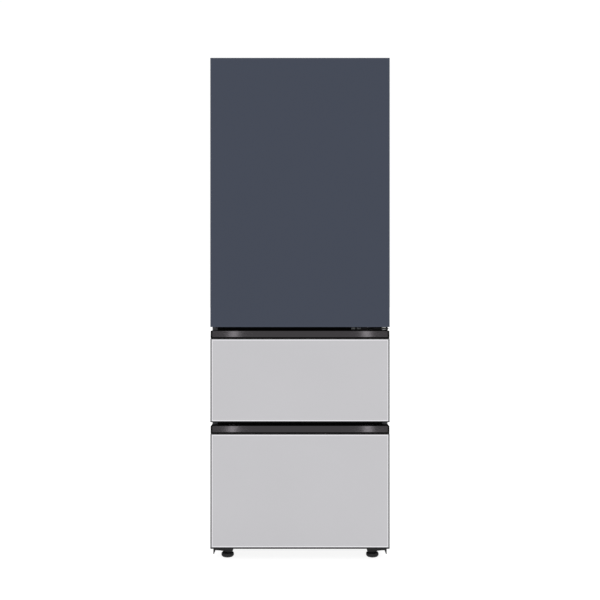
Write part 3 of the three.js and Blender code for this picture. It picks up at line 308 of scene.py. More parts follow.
def make_finishes():
    """Makes every finish, before the pieces; a row is its maker, its name and what the maker takes."""
    look = bpy.context.scene.refrigerator_finish
    door, drawer, trim = tuple(look.door_colour), tuple(look.drawer_colour), tuple(look.trim_colour)
    cabinet, liner = tuple(look.cabinet_colour), tuple(look.liner_colour)
    for maker, name, *values in (
        (coat, "navy_coat", door, look.coat_roughness),
        (coat, "grey_coat", drawer, look.coat_roughness),
        # the edge coats are darker copies of the front coats: painted shade on the rolled rims
        (coat, "navy_edge", tint(door, 0.96), 0.46),
        (coat, "grey_edge", tint(drawer, 0.34), 0.46),
        # the lit coats are lighter copies of the front coats: painted highlight lines inside the rims
        (coat, "navy_lit", tint(door, 1.1), 0.46),
        (coat, "grey_lit", tint(drawer, 1.5), 0.46),
        (brushed, "dark_brushed", trim, 0.05, (1.2, 1400, 1400), 0.03),
        (moulded, "black_plastic", (0.01, 0.01, 0.011), 0.5, 700, 0.08, 0.3),
        # near-black, almost glossless plastic of the cases and handle caps, also used as painted shade: the band
        # along the bottom of the drawer fronts, the foot of the handle trims and the mullions in the gaps between
        # the fronts
        (moulded, "black_case", (0.004, 0.004, 0.004), 0.7, 700, 0.08, 0.08),
        (moulded, "black_rubber", (0.018, 0.018, 0.019), 0.72, 420, 0.2),
        (coat, "black_coat", (0.012, 0.012, 0.013), 0.45, 600, 0.1),
        (textured_steel, "cabinet_coat", cabinet, 0.42),
        (moulded, "liner_plastic", liner, 0.3, 900, 0.02),
        (moulded, "duct_plastic", tint(liner, 0.96), 0.36, 800, 0.04),
        (moulded, "tub_plastic", tint(liner, 0.9), 0.34, 700, 0.05),
        (moulded, "button_plastic", (0.26, 0.27, 0.29), 0.4, 800, 0.05),
        (clear, "bin_plastic", (0.86, 0.93, 0.96), 0.06, 0.34),
        (clear, "shelf_glass", (0.78, 0.92, 0.88), 0.03, 0.3),
        (clear, "glass_edge", (0.3, 0.62, 0.5), 0.12, 0.8),
        (glow, "lamp_lens", (1.0, 0.97, 0.9), 1.6),
        (zinc, "zinc_plate", (0.58, 0.6, 0.62)),
        (zinc, "dull_zinc", (0.16, 0.165, 0.17)),
        (moulded, "white_nylon", (0.62, 0.62, 0.6), 0.45, 500, 0.03),
        (brushed, "fin_aluminium", (0.62, 0.63, 0.65), 0.3, (300, 300, 4)),
        (brushed, "copper_pipe", (0.62, 0.3, 0.18), 0.3, (4, 300, 300)),
        (coat, "compressor_enamel", (0.013, 0.013, 0.014), 0.3, 300, 0.08),
        (moulded, "seal_vinyl", (0.11, 0.11, 0.12), 0.6, 500, 0.1),
        (foam, "foam_core", (0.75, 0.66, 0.42), 0.9),
    ):
        finishes[name] = maker(name, *values)


# ---------- modelling by hand ----------

def box(node):
    """Lowest and highest corner of a node, in millimetres."""
    low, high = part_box(node)
    return Vector(low) / MM, Vector(high) / MM


def only(*objects):
    """Selects these objects alone, the first one active, in object mode."""
    if bpy.context.mode != "OBJECT":
        bpy.ops.object.mode_set(mode="OBJECT")
    bpy.ops.object.select_all(action="DESELECT")
    for piece in objects:
        piece.select_set(True)
    bpy.context.view_layer.objects.active = objects[0]


def new_piece(name):
    """Names the primitive just added and puts its place into its mesh."""
    piece = bpy.context.object
    piece.name = piece.data.name = name
    only(piece)
    bpy.ops.object.transform_apply(location=True, rotation=True, scale=True)
    return piece


def block(name, corner, opposite):
    """A box primitive between two opposite corners, to be shaped further."""
    low, high = Vector(map(min, corner, opposite)) * MM, Vector(map(max, corner, opposite)) * MM
    bpy.ops.mesh.primitive_cube_add(size=1, location=(low + high) / 2, scale=high - low)
    return new_piece(name)


class Editing:
    """Edit mode on one piece: all of it is selected, until faces or edges are chosen in code."""

    def __init__(self, piece, kind="FACE"):
        self.piece = piece
        self.kind = kind

    def __enter__(self):
        only(self.piece)
        bpy.ops.object.mode_set(mode="EDIT")
        bpy.ops.mesh.select_mode(type=self.kind)
        bpy.ops.mesh.select_all(action="SELECT")
        return self

    def __exit__(self, *problem):
        bpy.ops.object.mode_set(mode="OBJECT")

    def choose(self, test):
        """Selects the faces or edges that pass the test, and nothing else."""
        bpy.ops.mesh.select_all(action="DESELECT")
        mesh = bmesh.from_edit_mesh(self.piece.data)
        chosen = [part for part in (mesh.faces if self.kind == "FACE" else mesh.edges) if test(part)]
        if not chosen:
            raise RuntimeError(f"nothing to edit on {self.piece.name}")
        for part in chosen:
            part.select_set(True)
        bmesh.update_edit_mesh(self.piece.data)

    def inset(self, thickness, depth=0.0, each=False):
        bpy.ops.mesh.inset(thickness=thickness * MM, depth=depth * MM, use_individual=each)

    def extrude(self, shift):
        shift = tuple(Vector(shift) * MM)
        bpy.ops.mesh.extrude_region_move(TRANSFORM_OT_translate={"value": shift})

    def bevel(self, width, segments):
        bpy.ops.mesh.bevel(offset=width * MM, segments=segments, profile=0.5, affect="EDGES")

    def slice(self, point, normal):
        bpy.ops.mesh.select_all(action="SELECT")
        bpy.ops.mesh.bisect(plane_co=tuple(Vector(point) * MM), plane_no=tuple(normal))


def middle(edge):
    """The middle of an edge, in millimetres."""
    return (edge.verts[0].co + edge.verts[1].co) / 2 / MM


def runs(edge, direction):
    """Whether an edge lies along a direction."""
    return abs((edge.verts[1].co - edge.verts[0].co).normalized().dot(direction)) > FACING


def upright(edge):
    return runs(edge, UP)


def lengthways(edge):
    return runs(edge, BACK)


def rolled(piece, *rounds):
    """Rounds the edges that pass a test, for each (test, width, segments) in turn."""
    with Editing(piece, "EDGE") as edit:
        for test, width, segments in rounds:
            edit.choose(test)
            edit.bevel(width, segments)
    return piece


def apply(piece, kind, **settings):
    """Adds one modifier and applies it."""
    only(piece)
    modifier = piece.modifiers.new(kind.title(), kind)
    for name, value in settings.items():
        setattr(modifier, name, value)
    bpy.ops.object.modifier_apply(modifier=modifier.name)


def thicken(piece, thickness, offset=-1):
    apply(piece, "SOLIDIFY", thickness=thickness * MM, offset=offset)


def smooth(piece, angle=40):
    """Smooth shading, with the edges over an angle in degrees left sharp."""
    only(piece)
    bpy.ops.object.shade_smooth_by_angle(angle=math.radians(angle))
    return piece


def soften(piece, width, segments=2, angle=35):
    """Rounds every edge over an angle a little, and smooths the shading between them."""
    apply(piece, "BEVEL", width=width * MM, segments=segments, limit_method="ANGLE",
          angle_limit=math.radians(angle), harden_normals=False, use_clamp_overlap=True)
    return smooth(piece)


def ribs(axis, places, half, low, high, width, segments=2):
    """Rounded slabs between two corners, one at each place on an axis and half a thickness to each side."""
    made = []
    for place in places:
        start, end = Vector(low), Vector(high)
        start[axis], end[axis] = place - half, place + half
        made.append(soften(block("rib", start, end), width, segments))
    return made


def ledges(bottom, top, across, back):
    """A left and a right ledge between two levels, with the span across of the right one and its depth."""
    made = []
    for side, _ in SIDES:
        near, far = (side * across[0], back[0], bottom), (side * across[1], back[1], top)
        made.append(soften(block("ledge", near, far), 2, 4))
    return made


def outwards(piece):
    with Editing(piece, "VERT"):
        bpy.ops.mesh.remove_doubles(threshold=TOUCH * MM)
        bpy.ops.mesh.normals_make_consistent(inside=False)
    return piece


def copy_of(node, name):
    """A merged copy of a node's own shape, with its flat faces made whole."""
    piece = bpy.data.objects.new(name, frame["nodes"][node].data.copy())
    bpy.context.scene.collection.objects.link(piece)
    piece.data.materials.clear()
    with Editing(piece, "VERT"):
        bpy.ops.mesh.remove_doubles(threshold=TOUCH * MM)
        bpy.ops.mesh.dissolve_limited(angle_limit=math.radians(1))
    return piece


def fused(name, *pieces):
    only(*pieces)
    bpy.ops.object.join()
    pieces[0].name = pieces[0].data.name = name
    return pieces[0]


def paint(piece, *names):
    piece.data.materials.clear()
    for name in names:
        piece.data.materials.append(finishes[name])


def fit(piece, node, *names, hides=True):
    """Gives a finished piece its finish and its node's body, and hides the node behind it."""
    record = frame["record"]
    if names:
        paint(piece, *names)
    apply(piece, "WEIGHTED_NORMAL", mode="FACE_AREA", weight=50, keep_sharp=True)
    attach(piece, next(body for body, nodes in record["behaviour"]["bodies"].items() if node in nodes))
    next(row["material_slot"] for row in record["subparts"] if row["node"] == node)
    if hides:
        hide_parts(node)


def add(piece, node, *names):
    """Fits a small piece to a node that another piece stands for."""
    fit(piece, node, *names, hides=False)


def placed(piece, centre, direction):
    """Turns a piece made round the vertical to a direction, and moves it to its centre."""
    turn = UP.rotation_difference(direction).to_matrix().to_4x4()
    piece.data.transform(Matrix.Translation(Vector(centre) * MM) @ turn)
    return piece


def turned(name, profile, centre, direction=UP, sides=48):
    """A round piece: a disc extruded and scaled through (radius, height) steps along a direction."""
    (radius, height), *steps = profile
    bpy.ops.mesh.primitive_circle_add(
        vertices=sides, radius=radius * MM, fill_type="NGON", location=(0, 0, height * MM))
    piece = new_piece(name)
    with Editing(piece) as edit:
        for next_radius, next_height in steps:
            edit.extrude((0, 0, next_height - height))
            share = next_radius / radius
            bpy.ops.transform.resize(
                value=(share, share, 1), center_override=(0, 0, next_height * MM))
            radius, height = next_radius, next_height
    return placed(outwards(piece), centre, direction)


PLACED = {
    "X": lambda u, v, along: Vector((along, u, v)),
    "Y": lambda u, v, along: Vector((u, along, v)),
    "Z": lambda u, v, along: Vector((u, v, along)),
}


def rounded(points, radius, steps=4, closed=True):
    """Replaces each corner of an outline of (u, v) points by an arc; a radius for each, or one for all."""
    count = len(points)
    radii = radius if isinstance(radius, (list, tuple)) else [radius] * count
    path = []
    for index, (point, corner) in enumerate(zip(points, radii)):
        here = Vector(point)
        if corner <= 0 or (not closed and index in (0, count - 1)):
            path.append(here)
            continue
        before = (Vector(points[index - 1]) - here).normalized()
        after = (Vector(points[(index + 1) % count]) - here).normalized()
        half = before.angle(after) / 2
        reach = corner / math.tan(half)
        centre = here + (before + after).normalized() * corner / math.sin(half)
        first, last = here + before * reach - centre, here + after * reach - centre
        turn = first.angle_signed(last)
        for step in range(steps + 1):
            path.append(centre + Matrix.Rotation(-turn * step / steps, 2) @ first)
    return path


def bar(name, outline, axis, span):
    """A filled outline of (u, v) points, extruded along an axis between two places."""
    start, end = sorted(span)
    bpy.ops.mesh.primitive_circle_add(vertices=len(outline), radius=1, fill_type="NGON")
    piece = new_piece(name)
    for vertex, (u, v) in zip(piece.data.vertices, outline):
        vertex.co = PLACED[axis](u, v, start) * MM
    with Editing(piece) as edit:
        edit.extrude(PLACED[axis](0, 0, end - start))
    return outwards(piece)


def sheet(name, path, axis, span, thickness):
    """A bent sheet: a strip along an open path of (u, v) points, given its thickness to one side."""
    bpy.ops.mesh.primitive_grid_add(x_subdivisions=len(path) - 1, y_subdivisions=1, size=2)
    piece = new_piece(name)
    for index, vertex in enumerate(piece.data.vertices):
        row, column = divmod(index, len(path))
        vertex.co = PLACED[axis](*path[column], span[row]) * MM
    thicken(piece, abs(thickness), 1 if thickness > 0 else -1)
    return piece


def ring(name, low, high, axis, section, radius, steps):
    """A closed section of (out, along) points, carried round a rectangle with round corners."""
    route = []
    for u, v in (low, (high[0], low[1]), high, (low[0], high[1])):
        way = Vector((1 if u == high[0] else -1, 1 if v == high[1] else -1))
        base = math.atan2(way.y, way.x) - math.pi / 4
        for step in range(steps + 1):
            angle = base + math.pi / 2 * step / steps
            out = Vector((math.cos(angle), math.sin(angle)))
            route.append((Vector((u, v)) + (out - way) * radius, out))
    bpy.ops.mesh.primitive_torus_add(
        major_segments=len(route), minor_segments=len(section), major_radius=1, minor_radius=0.2)
    piece = new_piece(name)
    for index, vertex in enumerate(piece.data.vertices):
        (place, out), (reach, along) = route[index // len(section)], section[index % len(section)]
        vertex.co = PLACED[axis](*(place + out * reach), along) * MM
    return outwards(piece)


def hollow(piece, direction, wall, depth):
    """Sinks a well into the outermost face that points one way."""
    reach = max(vertex.co.dot(direction) for vertex in piece.data.vertices) - TOUCH * MM
    with Editing(piece) as edit:
        edit.choose(lambda face: face.normal.dot(direction) > FACING
                    and face.calc_center_median().dot(direction) > reach)
        edit.inset(wall)
        edit.extrude(direction * -depth)
    return piece


def screws(name, node, spots, direction, radius, finish="zinc_plate"):
    """Numbered pan-head screws with a recess."""
    tall = radius * 0.62
    profile = [(radius * 1.25, 0), (radius * 1.25, tall * 0.25), (radius, tall * 0.3),
               (radius * 0.92, tall * 0.75), (radius * 0.62, tall)]
    for index, spot in enumerate(spots):
        head = turned(f"{name}_{index}", profile, spot, direction, 24)
        add(smooth(hollow(head, direction, radius * 0.36, tall * 0.6), 35), node, finish)


# ---------- stage, in metres ----------

EYE_DISTANCE = 3.6              # eye in front of the front face
EYE_HEIGHT = 0.965
SENSOR = 36
LENS = 58.46
FLOOR_SIZE = 240
CHEST = (0, 0, 0.95)            # where the soft lamps point
LAMPS = (                       # name, size, place and power
    ("key_light", (3.2, 2.2), (-2.6, -3.6, 3.4), 6),
    ("fill_light", (3.0, 2.6), (3.4, -3.0, 2.0), 3),
    ("back_light", (3.0, 1.6), (0, 3.2, 3.2), 6),
)
STRIP_SPREAD = 0.53             # strip lights left and right of the eye
STRIP_SETBACK = 3.9             # strip lights in front of the front face
STRIP_HEIGHT = 1.95
STRIP_SIZE = (0.06, 2.2)
STRIP_POWER = 1.8


class REFRIGERATOR_OT_stage(bpy.types.Operator):
    """Pale floor, soft studio light and a level camera in front of the refrigerator."""

    bl_idname = "refrigerator.stage"
    bl_label = "Stage and light"

    def lamp(self, name, size, place, power, aim):
        bpy.ops.object.light_add(type="AREA", location=place)
        light = bpy.context.object
        light.name = name
        light.data.shape = "RECTANGLE"
        light.data.size, light.data.size_y = size
        light.data.energy = power
        way = Vector(aim) - Vector(place)
        light.rotation_euler = way.to_track_quat("-Z", "Y").to_euler()

    def execute(self, context):
        front = cad_box[0][1]
        bpy.ops.mesh.primitive_plane_add(size=FLOOR_SIZE, location=(0, 0, 0))
        floor = new_piece("studio_floor")
        shade = Paint("studio_floor", (0.3, 0.3, 0.3), 0.8, Specular_IOR_Level=0.0,
                      Emission_Color=(1, 1, 1, 1), Emission_Strength=0.9)
        shade.mix(shade.noise(3, 2), (0.29, 0.29, 0.29), (0.31, 0.31, 0.31))
        floor.data.materials.append(shade.material)

        world = context.scene.world or bpy.data.worlds.new("studio")
        context.scene.world = world
        world.use_nodes = True
        backdrop = world.node_tree.nodes["Background"]
        backdrop.inputs["Color"].default_value = (1, 1, 1, 1)
        backdrop.inputs["Strength"].default_value = 1.02

        for lamp in LAMPS:
            self.lamp(*lamp, CHEST)
        for side, word in SIDES:
            x = side * STRIP_SPREAD
            self.lamp(f"strip_light_{word}", STRIP_SIZE, (x, front - STRIP_SETBACK, STRIP_HEIGHT),
                      STRIP_POWER, (x, front, STRIP_HEIGHT))

        bpy.ops.object.camera_add(location=(0, front - EYE_DISTANCE, EYE_HEIGHT),
                                  rotation=(math.radians(90), 0, 0))
        camera = context.object
        camera.name = "photo_camera"
        camera.data.sensor_width = SENSOR
        camera.data.lens = LENS
        camera.data.clip_end = 300
        context.scene.camera = camera
        context.scene.view_settings.view_transform = "Standard"
        return {"FINISHED"}


# ---------- fronts ----------

# piece, coat, then the width of the rim at the sides and ends, painted darker as shade, and of the black band
# painted under it as shade
FRONTS = (
    ("door", "navy", 1.5, 1.5, 0),
    ("middle_drawer", "grey", 6.2, 2.2, 2.8),
    ("lower_drawer", "grey", 6.2, 2.2, 3.8),
)
SIDE_LIT = 0.75                 # the painted highlight line at the sides, as a share of that at the ends


class REFRIGERATOR_OT_front_panels(bpy.types.Operator):
    """Coated steel fronts with a rolled rim in a darker coat as painted shade, a lighter line inside it as a
    painted highlight, and on the drawers a black band along the bottom as painted shade.
    """

    bl_idname = "refrigerator.front_panels"
    bl_label = "Front panels"

    def execute(self, context):
        roll, fine, lit = setting("panel_edge"), setting("fine_edge"), setting("lit_edge")
        for name, colour, side_rim, end_rim, under in FRONTS:
            low, high = box(f"{name}_panel")
            side_lit, bottom = side_rim + lit * SIDE_LIT, low.z + under
            piece = rolled(
                block(f"{name}_front", low, high),
                (lambda edge: upright(edge) and middle(edge).y < low.y + fine, roll, 7),
                (lambda edge: runs(edge, ACROSS) and middle(edge).y < low.y + fine, end_rim, 4))
            soften(piece, fine * 0.4, 2, 60)
            with Editing(piece) as edit:
                for reach in (side_rim, side_lit):
                    for side, _ in SIDES:
                        edit.slice((side * (high.x - reach), 0, 0), ACROSS)
                for level in (bottom, bottom + end_rim, bottom + end_rim + lit,
                              high.z - end_rim - lit, high.z - end_rim):
                    edit.slice((0, 0, level), UP)
            # the coat, its darker copy as painted shade on the rims, its lighter copy as painted highlight lines,
            # and black as painted shade along the bottom and on the faces turned to the back
            paint(piece, f"{colour}_coat", f"{colour}_edge", f"{colour}_lit", "black_case")
            for face in piece.data.polygons:
                spot = face.center / MM
                beside = high.x - abs(spot.x)
                above = min(spot.z - bottom, high.z - spot.z)
                if spot.z < bottom or face.normal.y > 0.5:
                    face.material_index = 3
                elif beside < side_rim or above < end_rim or spot.y > low.y + roll:
                    face.material_index = 1
                elif beside < side_lit or above < end_rim + lit:
                    face.material_index = 2
            fit(piece, f"{name}_panel")
        # a black rubber lip under the lower drawer front, standing in as painted shade beneath it
        node = "lower_drawer_case"
        low, high = box(node)
        near, far, over, under = low.y + 0.2, low.y + 7, low.z + 1.2, low.z - 3.4
        outline = rounded([(near, over), (near, under), (far, under), (far, over)], [0, 1.2, 1.2, 0], 3)
        lip = bar("lower_drawer_shade_lip", outline, "X", (low.x + 1, high.x - 1))
        add(soften(lip, 0.4, 2, 50), node, "black_rubber")
        return {"FINISHED"}


TRIM_FOOT = 6                   # height of the handle trim's recessed foot, painted black as shade
TRIM_LEAN = 6                   # how far its lip leans back


class REFRIGERATOR_OT_handles(bpy.types.Operator):
    """Dark brushed trims with a finger scoop on top of each drawer front, between moulded caps; each trim's
    recessed foot is painted black as shade.
    """

    bl_idname = "refrigerator.handles"
    bl_label = "Handle trims"

    def profile(self, low, high, lip_only=False):
        """Section in (y, z): a recessed foot, a leaning lip, the scoop and its rear wall."""
        lip, wall, rear, top = 8, 4, high.y, high.z
        foot, crest = low.z + TRIM_FOOT, low.y + TRIM_LEAN
        at_foot = low.y + TRIM_LEAN * TRIM_FOOT / (top - low.z)
        points = [
            (low.y + 5, low.z), (low.y + 5, foot), (at_foot, foot),
            (crest, top), (crest + lip, top), (crest + lip, low.z + wall),
            (rear - wall, low.z + wall), (rear - wall, top - 1), (rear, top - 1), (rear, low.z),
        ]
        radii = [0, 0.5, 1.2, 2.2, 2.6, 5, 5, 1, 1, 0]
        if lip_only:
            points[5:], radii[5:] = [(crest + lip, low.z)], [0]
        return rounded(points, radii)

    def execute(self, context):
        cap, web = 6.6, 1
        for row in ROWS:
            node = f"{row}_drawer_handle"
            low, high = box(node)
            span = low.x + cap, high.x - cap
            trim = smooth(bar(f"{row}_handle_trim", self.profile(low, high), "X", span), 30)
            fit(trim, node, "dark_brushed", "black_case")
            # the foot of the trim takes the black as painted shade in its recess
            for face in trim.data.polygons:
                _, y, z = face.center / MM
                face.material_index = int(z < low.z + TRIM_FOOT + 0.2 and y < low.y + TRIM_LEAN)
            for side, word in SIDES:
                edge = side * high.x
                piece = fused(
                    f"{row}_handle_cap_{word}",
                    bar("cap", self.profile(low, high, True), "X", (edge, edge - side * cap)),
                    block("web", (edge, low.y + 13, low.z), (edge - side * web, high.y, high.z - 1)))
                rolled(piece, (lambda edge: abs(abs(middle(edge).x) - high.x) < 0.1 and lengthways(edge)
                               and middle(edge).z > high.z - 2, 4.4, 5))
                add(soften(piece, 0.35), node, "black_case")
        return {"FINISHED"}


# ---------- feet and base ----------

class REFRIGERATOR_OT_feet(bpy.types.Operator):
    """Black levelling feet with a gripped rim, a lock nut and a threaded stem, and rear rollers."""

    bl_idname = "refrigerator.feet"
    bl_label = "Feet and rollers"

    def foot(self, node, name):
        low, high = box(node)
        centre = (low + high) / 2
        centre.z = 0
        rim = (high.x - low.x) / 2
        steps = bpy.context.scene.refrigerator_shape.knurls * 2
        disc = turned(name, [
            (rim * 0.64, 0), (rim * 0.8, 1.2), (rim * 0.93, 4), (rim, 7.4), (rim, 13), (rim * 0.96, 15.6),
            (rim * 0.87, 17.6), (rim * 0.7, 18.8), (rim * 0.62, 18.2), (rim * 0.3, 18.2),
        ], centre, UP, steps)

        def gripped(face):
            out = face.calc_center_median() / MM - centre
            step = int(math.atan2(out.y, out.x) / math.tau * steps + steps * 2)
            return abs(face.normal.z) < 0.1 and out.xy.length > rim * 0.94 and step % 2 == 0

        with Editing(disc) as edit:
            edit.choose(gripped)
            edit.inset(0.2, -0.8, each=True)
        fit(smooth(disc, 35), node, "black_plastic")
        stem, pitch = 5, 1.5
        threads = [(stem, 23.4)]
        while threads[-1][1] < high.z - pitch:
            start = threads[-1][1]
            threads += [(stem * 0.84, start + pitch * 0.5), (stem, start + pitch)]
        add(smooth(turned(f"{name}_stem", threads, centre, UP, 24), 25), node, "zinc_plate")
        nut = turned(f"{name}_nut", [(9.6, 18), (10.6, 18.7), (10.6, 23), (9.6, 23.7)], centre, UP, 6)
        add(soften(nut, 0.5, 2, 20), node, "dull_zinc")

    def roller(self, node, name):
        low, high = box(node)
        radius, half = (high.z - low.z) / 2, (high.x - low.x) / 2
        rise = [(0.28, 0.9), (0.62, 0.9), (0.66, 0.6), (0.78, 0.6), (0.8, 1), (0.95, 1), (1, 0.8)]
        profile = [(radius * out, half * -along) for out, along in rise]
        profile += [(radius * out, half * along) for out, along in rise[::-1]]
        fit(smooth(turned(name, profile, (low + high) / 2, ACROSS, 64), 35), node, "black_rubber")

    def execute(self, context):
        for _, word in SIDES:
            self.foot(f"front_leg_{word}", f"levelling_foot_{word}")
            self.roller(f"rear_wheel_{word}", f"rear_roller_{word}")
        return {"FINISHED"}


class REFRIGERATOR_OT_base(bpy.types.Operator):
    """Coated base plate, with the sloping flanges, sleeves and screws of its leg brackets."""

    bl_idname = "refrigerator.base"
    bl_label = "Base frame"

    def execute(self, context):
        node = "base_frame"
        low, high = box(node)
        fit(soften(copy_of(node, "base_plate"), 0.45), node, "black_coat")
        foot_low, foot_high = box("front_leg_right")
        leg = (foot_low + foot_high) / 2
        lip = foot_low.y + (foot_high.y - foot_low.y) / 4
        edge, top, brim = high.x - 3.6, high.z - 0.5, low.z + 10.5
        for side, word in SIDES:
            outline = [
                (edge, top), (edge, low.z), (edge - 3.4, low.z), (edge - 6.5, low.z + 14),
                (leg.x + 28, low.z + 13), (leg.x + 10, brim), (leg.x - 20, brim), (leg.x - 26, top)]
            flange = bar(f"leg_bracket_flange_{word}", [(side * x, z) for x, z in outline],
                         "Y", (lip - 2.4, lip + 0.4))
            add(soften(flange, 0.5), node, "black_coat")
            sleeve = turned(f"leg_sleeve_{word}", [(11.4, low.z + 4.2), (13.4, low.z + 5), (13.4, top)],
                            (side * (leg.x - 3.4), leg.y, 0), UP, 40)
            add(smooth(sleeve, 35), node, "black_coat")
            screws(f"leg_bracket_screw_{word}", node,
                   [(side * (leg.x + reach), foot_low.y + 36, 40) for reach in (-18, 22)], -UP, 3.6)
        return {"FINISHED"}


# ---------- hinges ----------

class REFRIGERATOR_OT_hinges(bpy.types.Operator):
    """Middle hinge in the gap under the door, and the covered top hinge."""

    bl_idname = "refrigerator.hinges"
    bl_label = "Hinges"

    def middle_hinge(self):
        node = "middle_hinge"
        low, high = box(node)
        joint = next(joint for joint in frame["joints"] if joint["name"] == "door_hinge")
        axis_x, axis_y = (place / MM for place in joint["pos_m"][:2])
        leaf = block("middle_hinge_leaf", (low.x, high.y - 3, low.z), (high.x, high.y, low.z + 34))
        rolled(leaf, (lengthways, 5, 5))
        fit(soften(leaf, 0.5), node, "black_coat")
        under, over = low.z + 14.5, low.z + 19.5
        reach, taper = 9, 48
        outline = [
            (high.x, high.y - 2), (high.x, axis_y), (axis_x + reach, axis_y - reach),
            (axis_x - reach, axis_y - reach), (axis_x - reach * 2, axis_y),
            (axis_x - reach * 2 - taper, high.y - 2)]
        arm = bar("middle_hinge_arm", rounded(outline, [0, 5, 7, 7, 8, 0]), "Z", (under, over))
        add(soften(arm, 0.5), node, "black_coat")
        centre = (axis_x, axis_y, 0)
        washer = [(7.6, over + 0.2), (8.6, over + 0.7), (8.6, over + 3.4), (7.6, over + 4.1)]
        add(smooth(turned("middle_hinge_washer", washer, centre, UP, 40), 35), node, "white_nylon")
        pin = [(7.2, under - 1.6), (7.8, under - 1.1), (7.8, under - 0.1), (4.9, under),
               (4.9, high.z - 1.4), (3.6, high.z)]
        add(smooth(turned("middle_hinge_pin", pin, centre, UP, 32), 35), node, "zinc_plate")
        screws("middle_hinge_screw", node,
               [(low.x + place, high.y - 3, (under + over) / 2) for place in (4, 26, 63)],
               -BACK, 5.4, "dull_zinc")

    def top_hinge(self):
        node, cap_node = "top_hinge", "top_hinge_cover"
        fit(soften(copy_of(node, "top_hinge_plate"), 0.8, 3), node, "black_coat")
        low, high = box(cap_node)
        cover = rolled(
            block("top_hinge_cap", low, high),
            (upright, 9, 7),
            (lambda edge: middle(edge).z > high.z - 0.1, 5, 6))
        with Editing(cover) as edit:
            edit.choose(lambda face: face.normal.z < -FACING)
            bpy.ops.mesh.delete(type="FACE")
        thicken(cover, 2)
        fit(smooth(cover, 35), cap_node, "black_plastic")
        for index, reach in enumerate((26, 62)):
            plug = turned(f"top_hinge_cap_plug_{index}", [(5.2, 0), (5.2, 0.4), (4.6, 0.6)],
                          ((low.x + high.x) / 2 - 20, low.y + reach, high.z - 0.6), UP, 32)
            add(smooth(plug, 30), cap_node, "black_rubber")
        screws("top_hinge_screw", node,
               [(low.x + 30, low.y + reach, box(node)[1].z) for reach in (24, 50)], UP, 4.6)

    def execute(self, context):
        self.middle_hinge()
        self.top_hinge()
        return {"FINISHED"}


# ---------- cabinet ----------

SHEET = 1.2
SHEET_BEND = 2.6
SCREW = 3.6                     # radius of the cabinet's screws
SCREW_INSET = 9                 # from the edge of a sheet


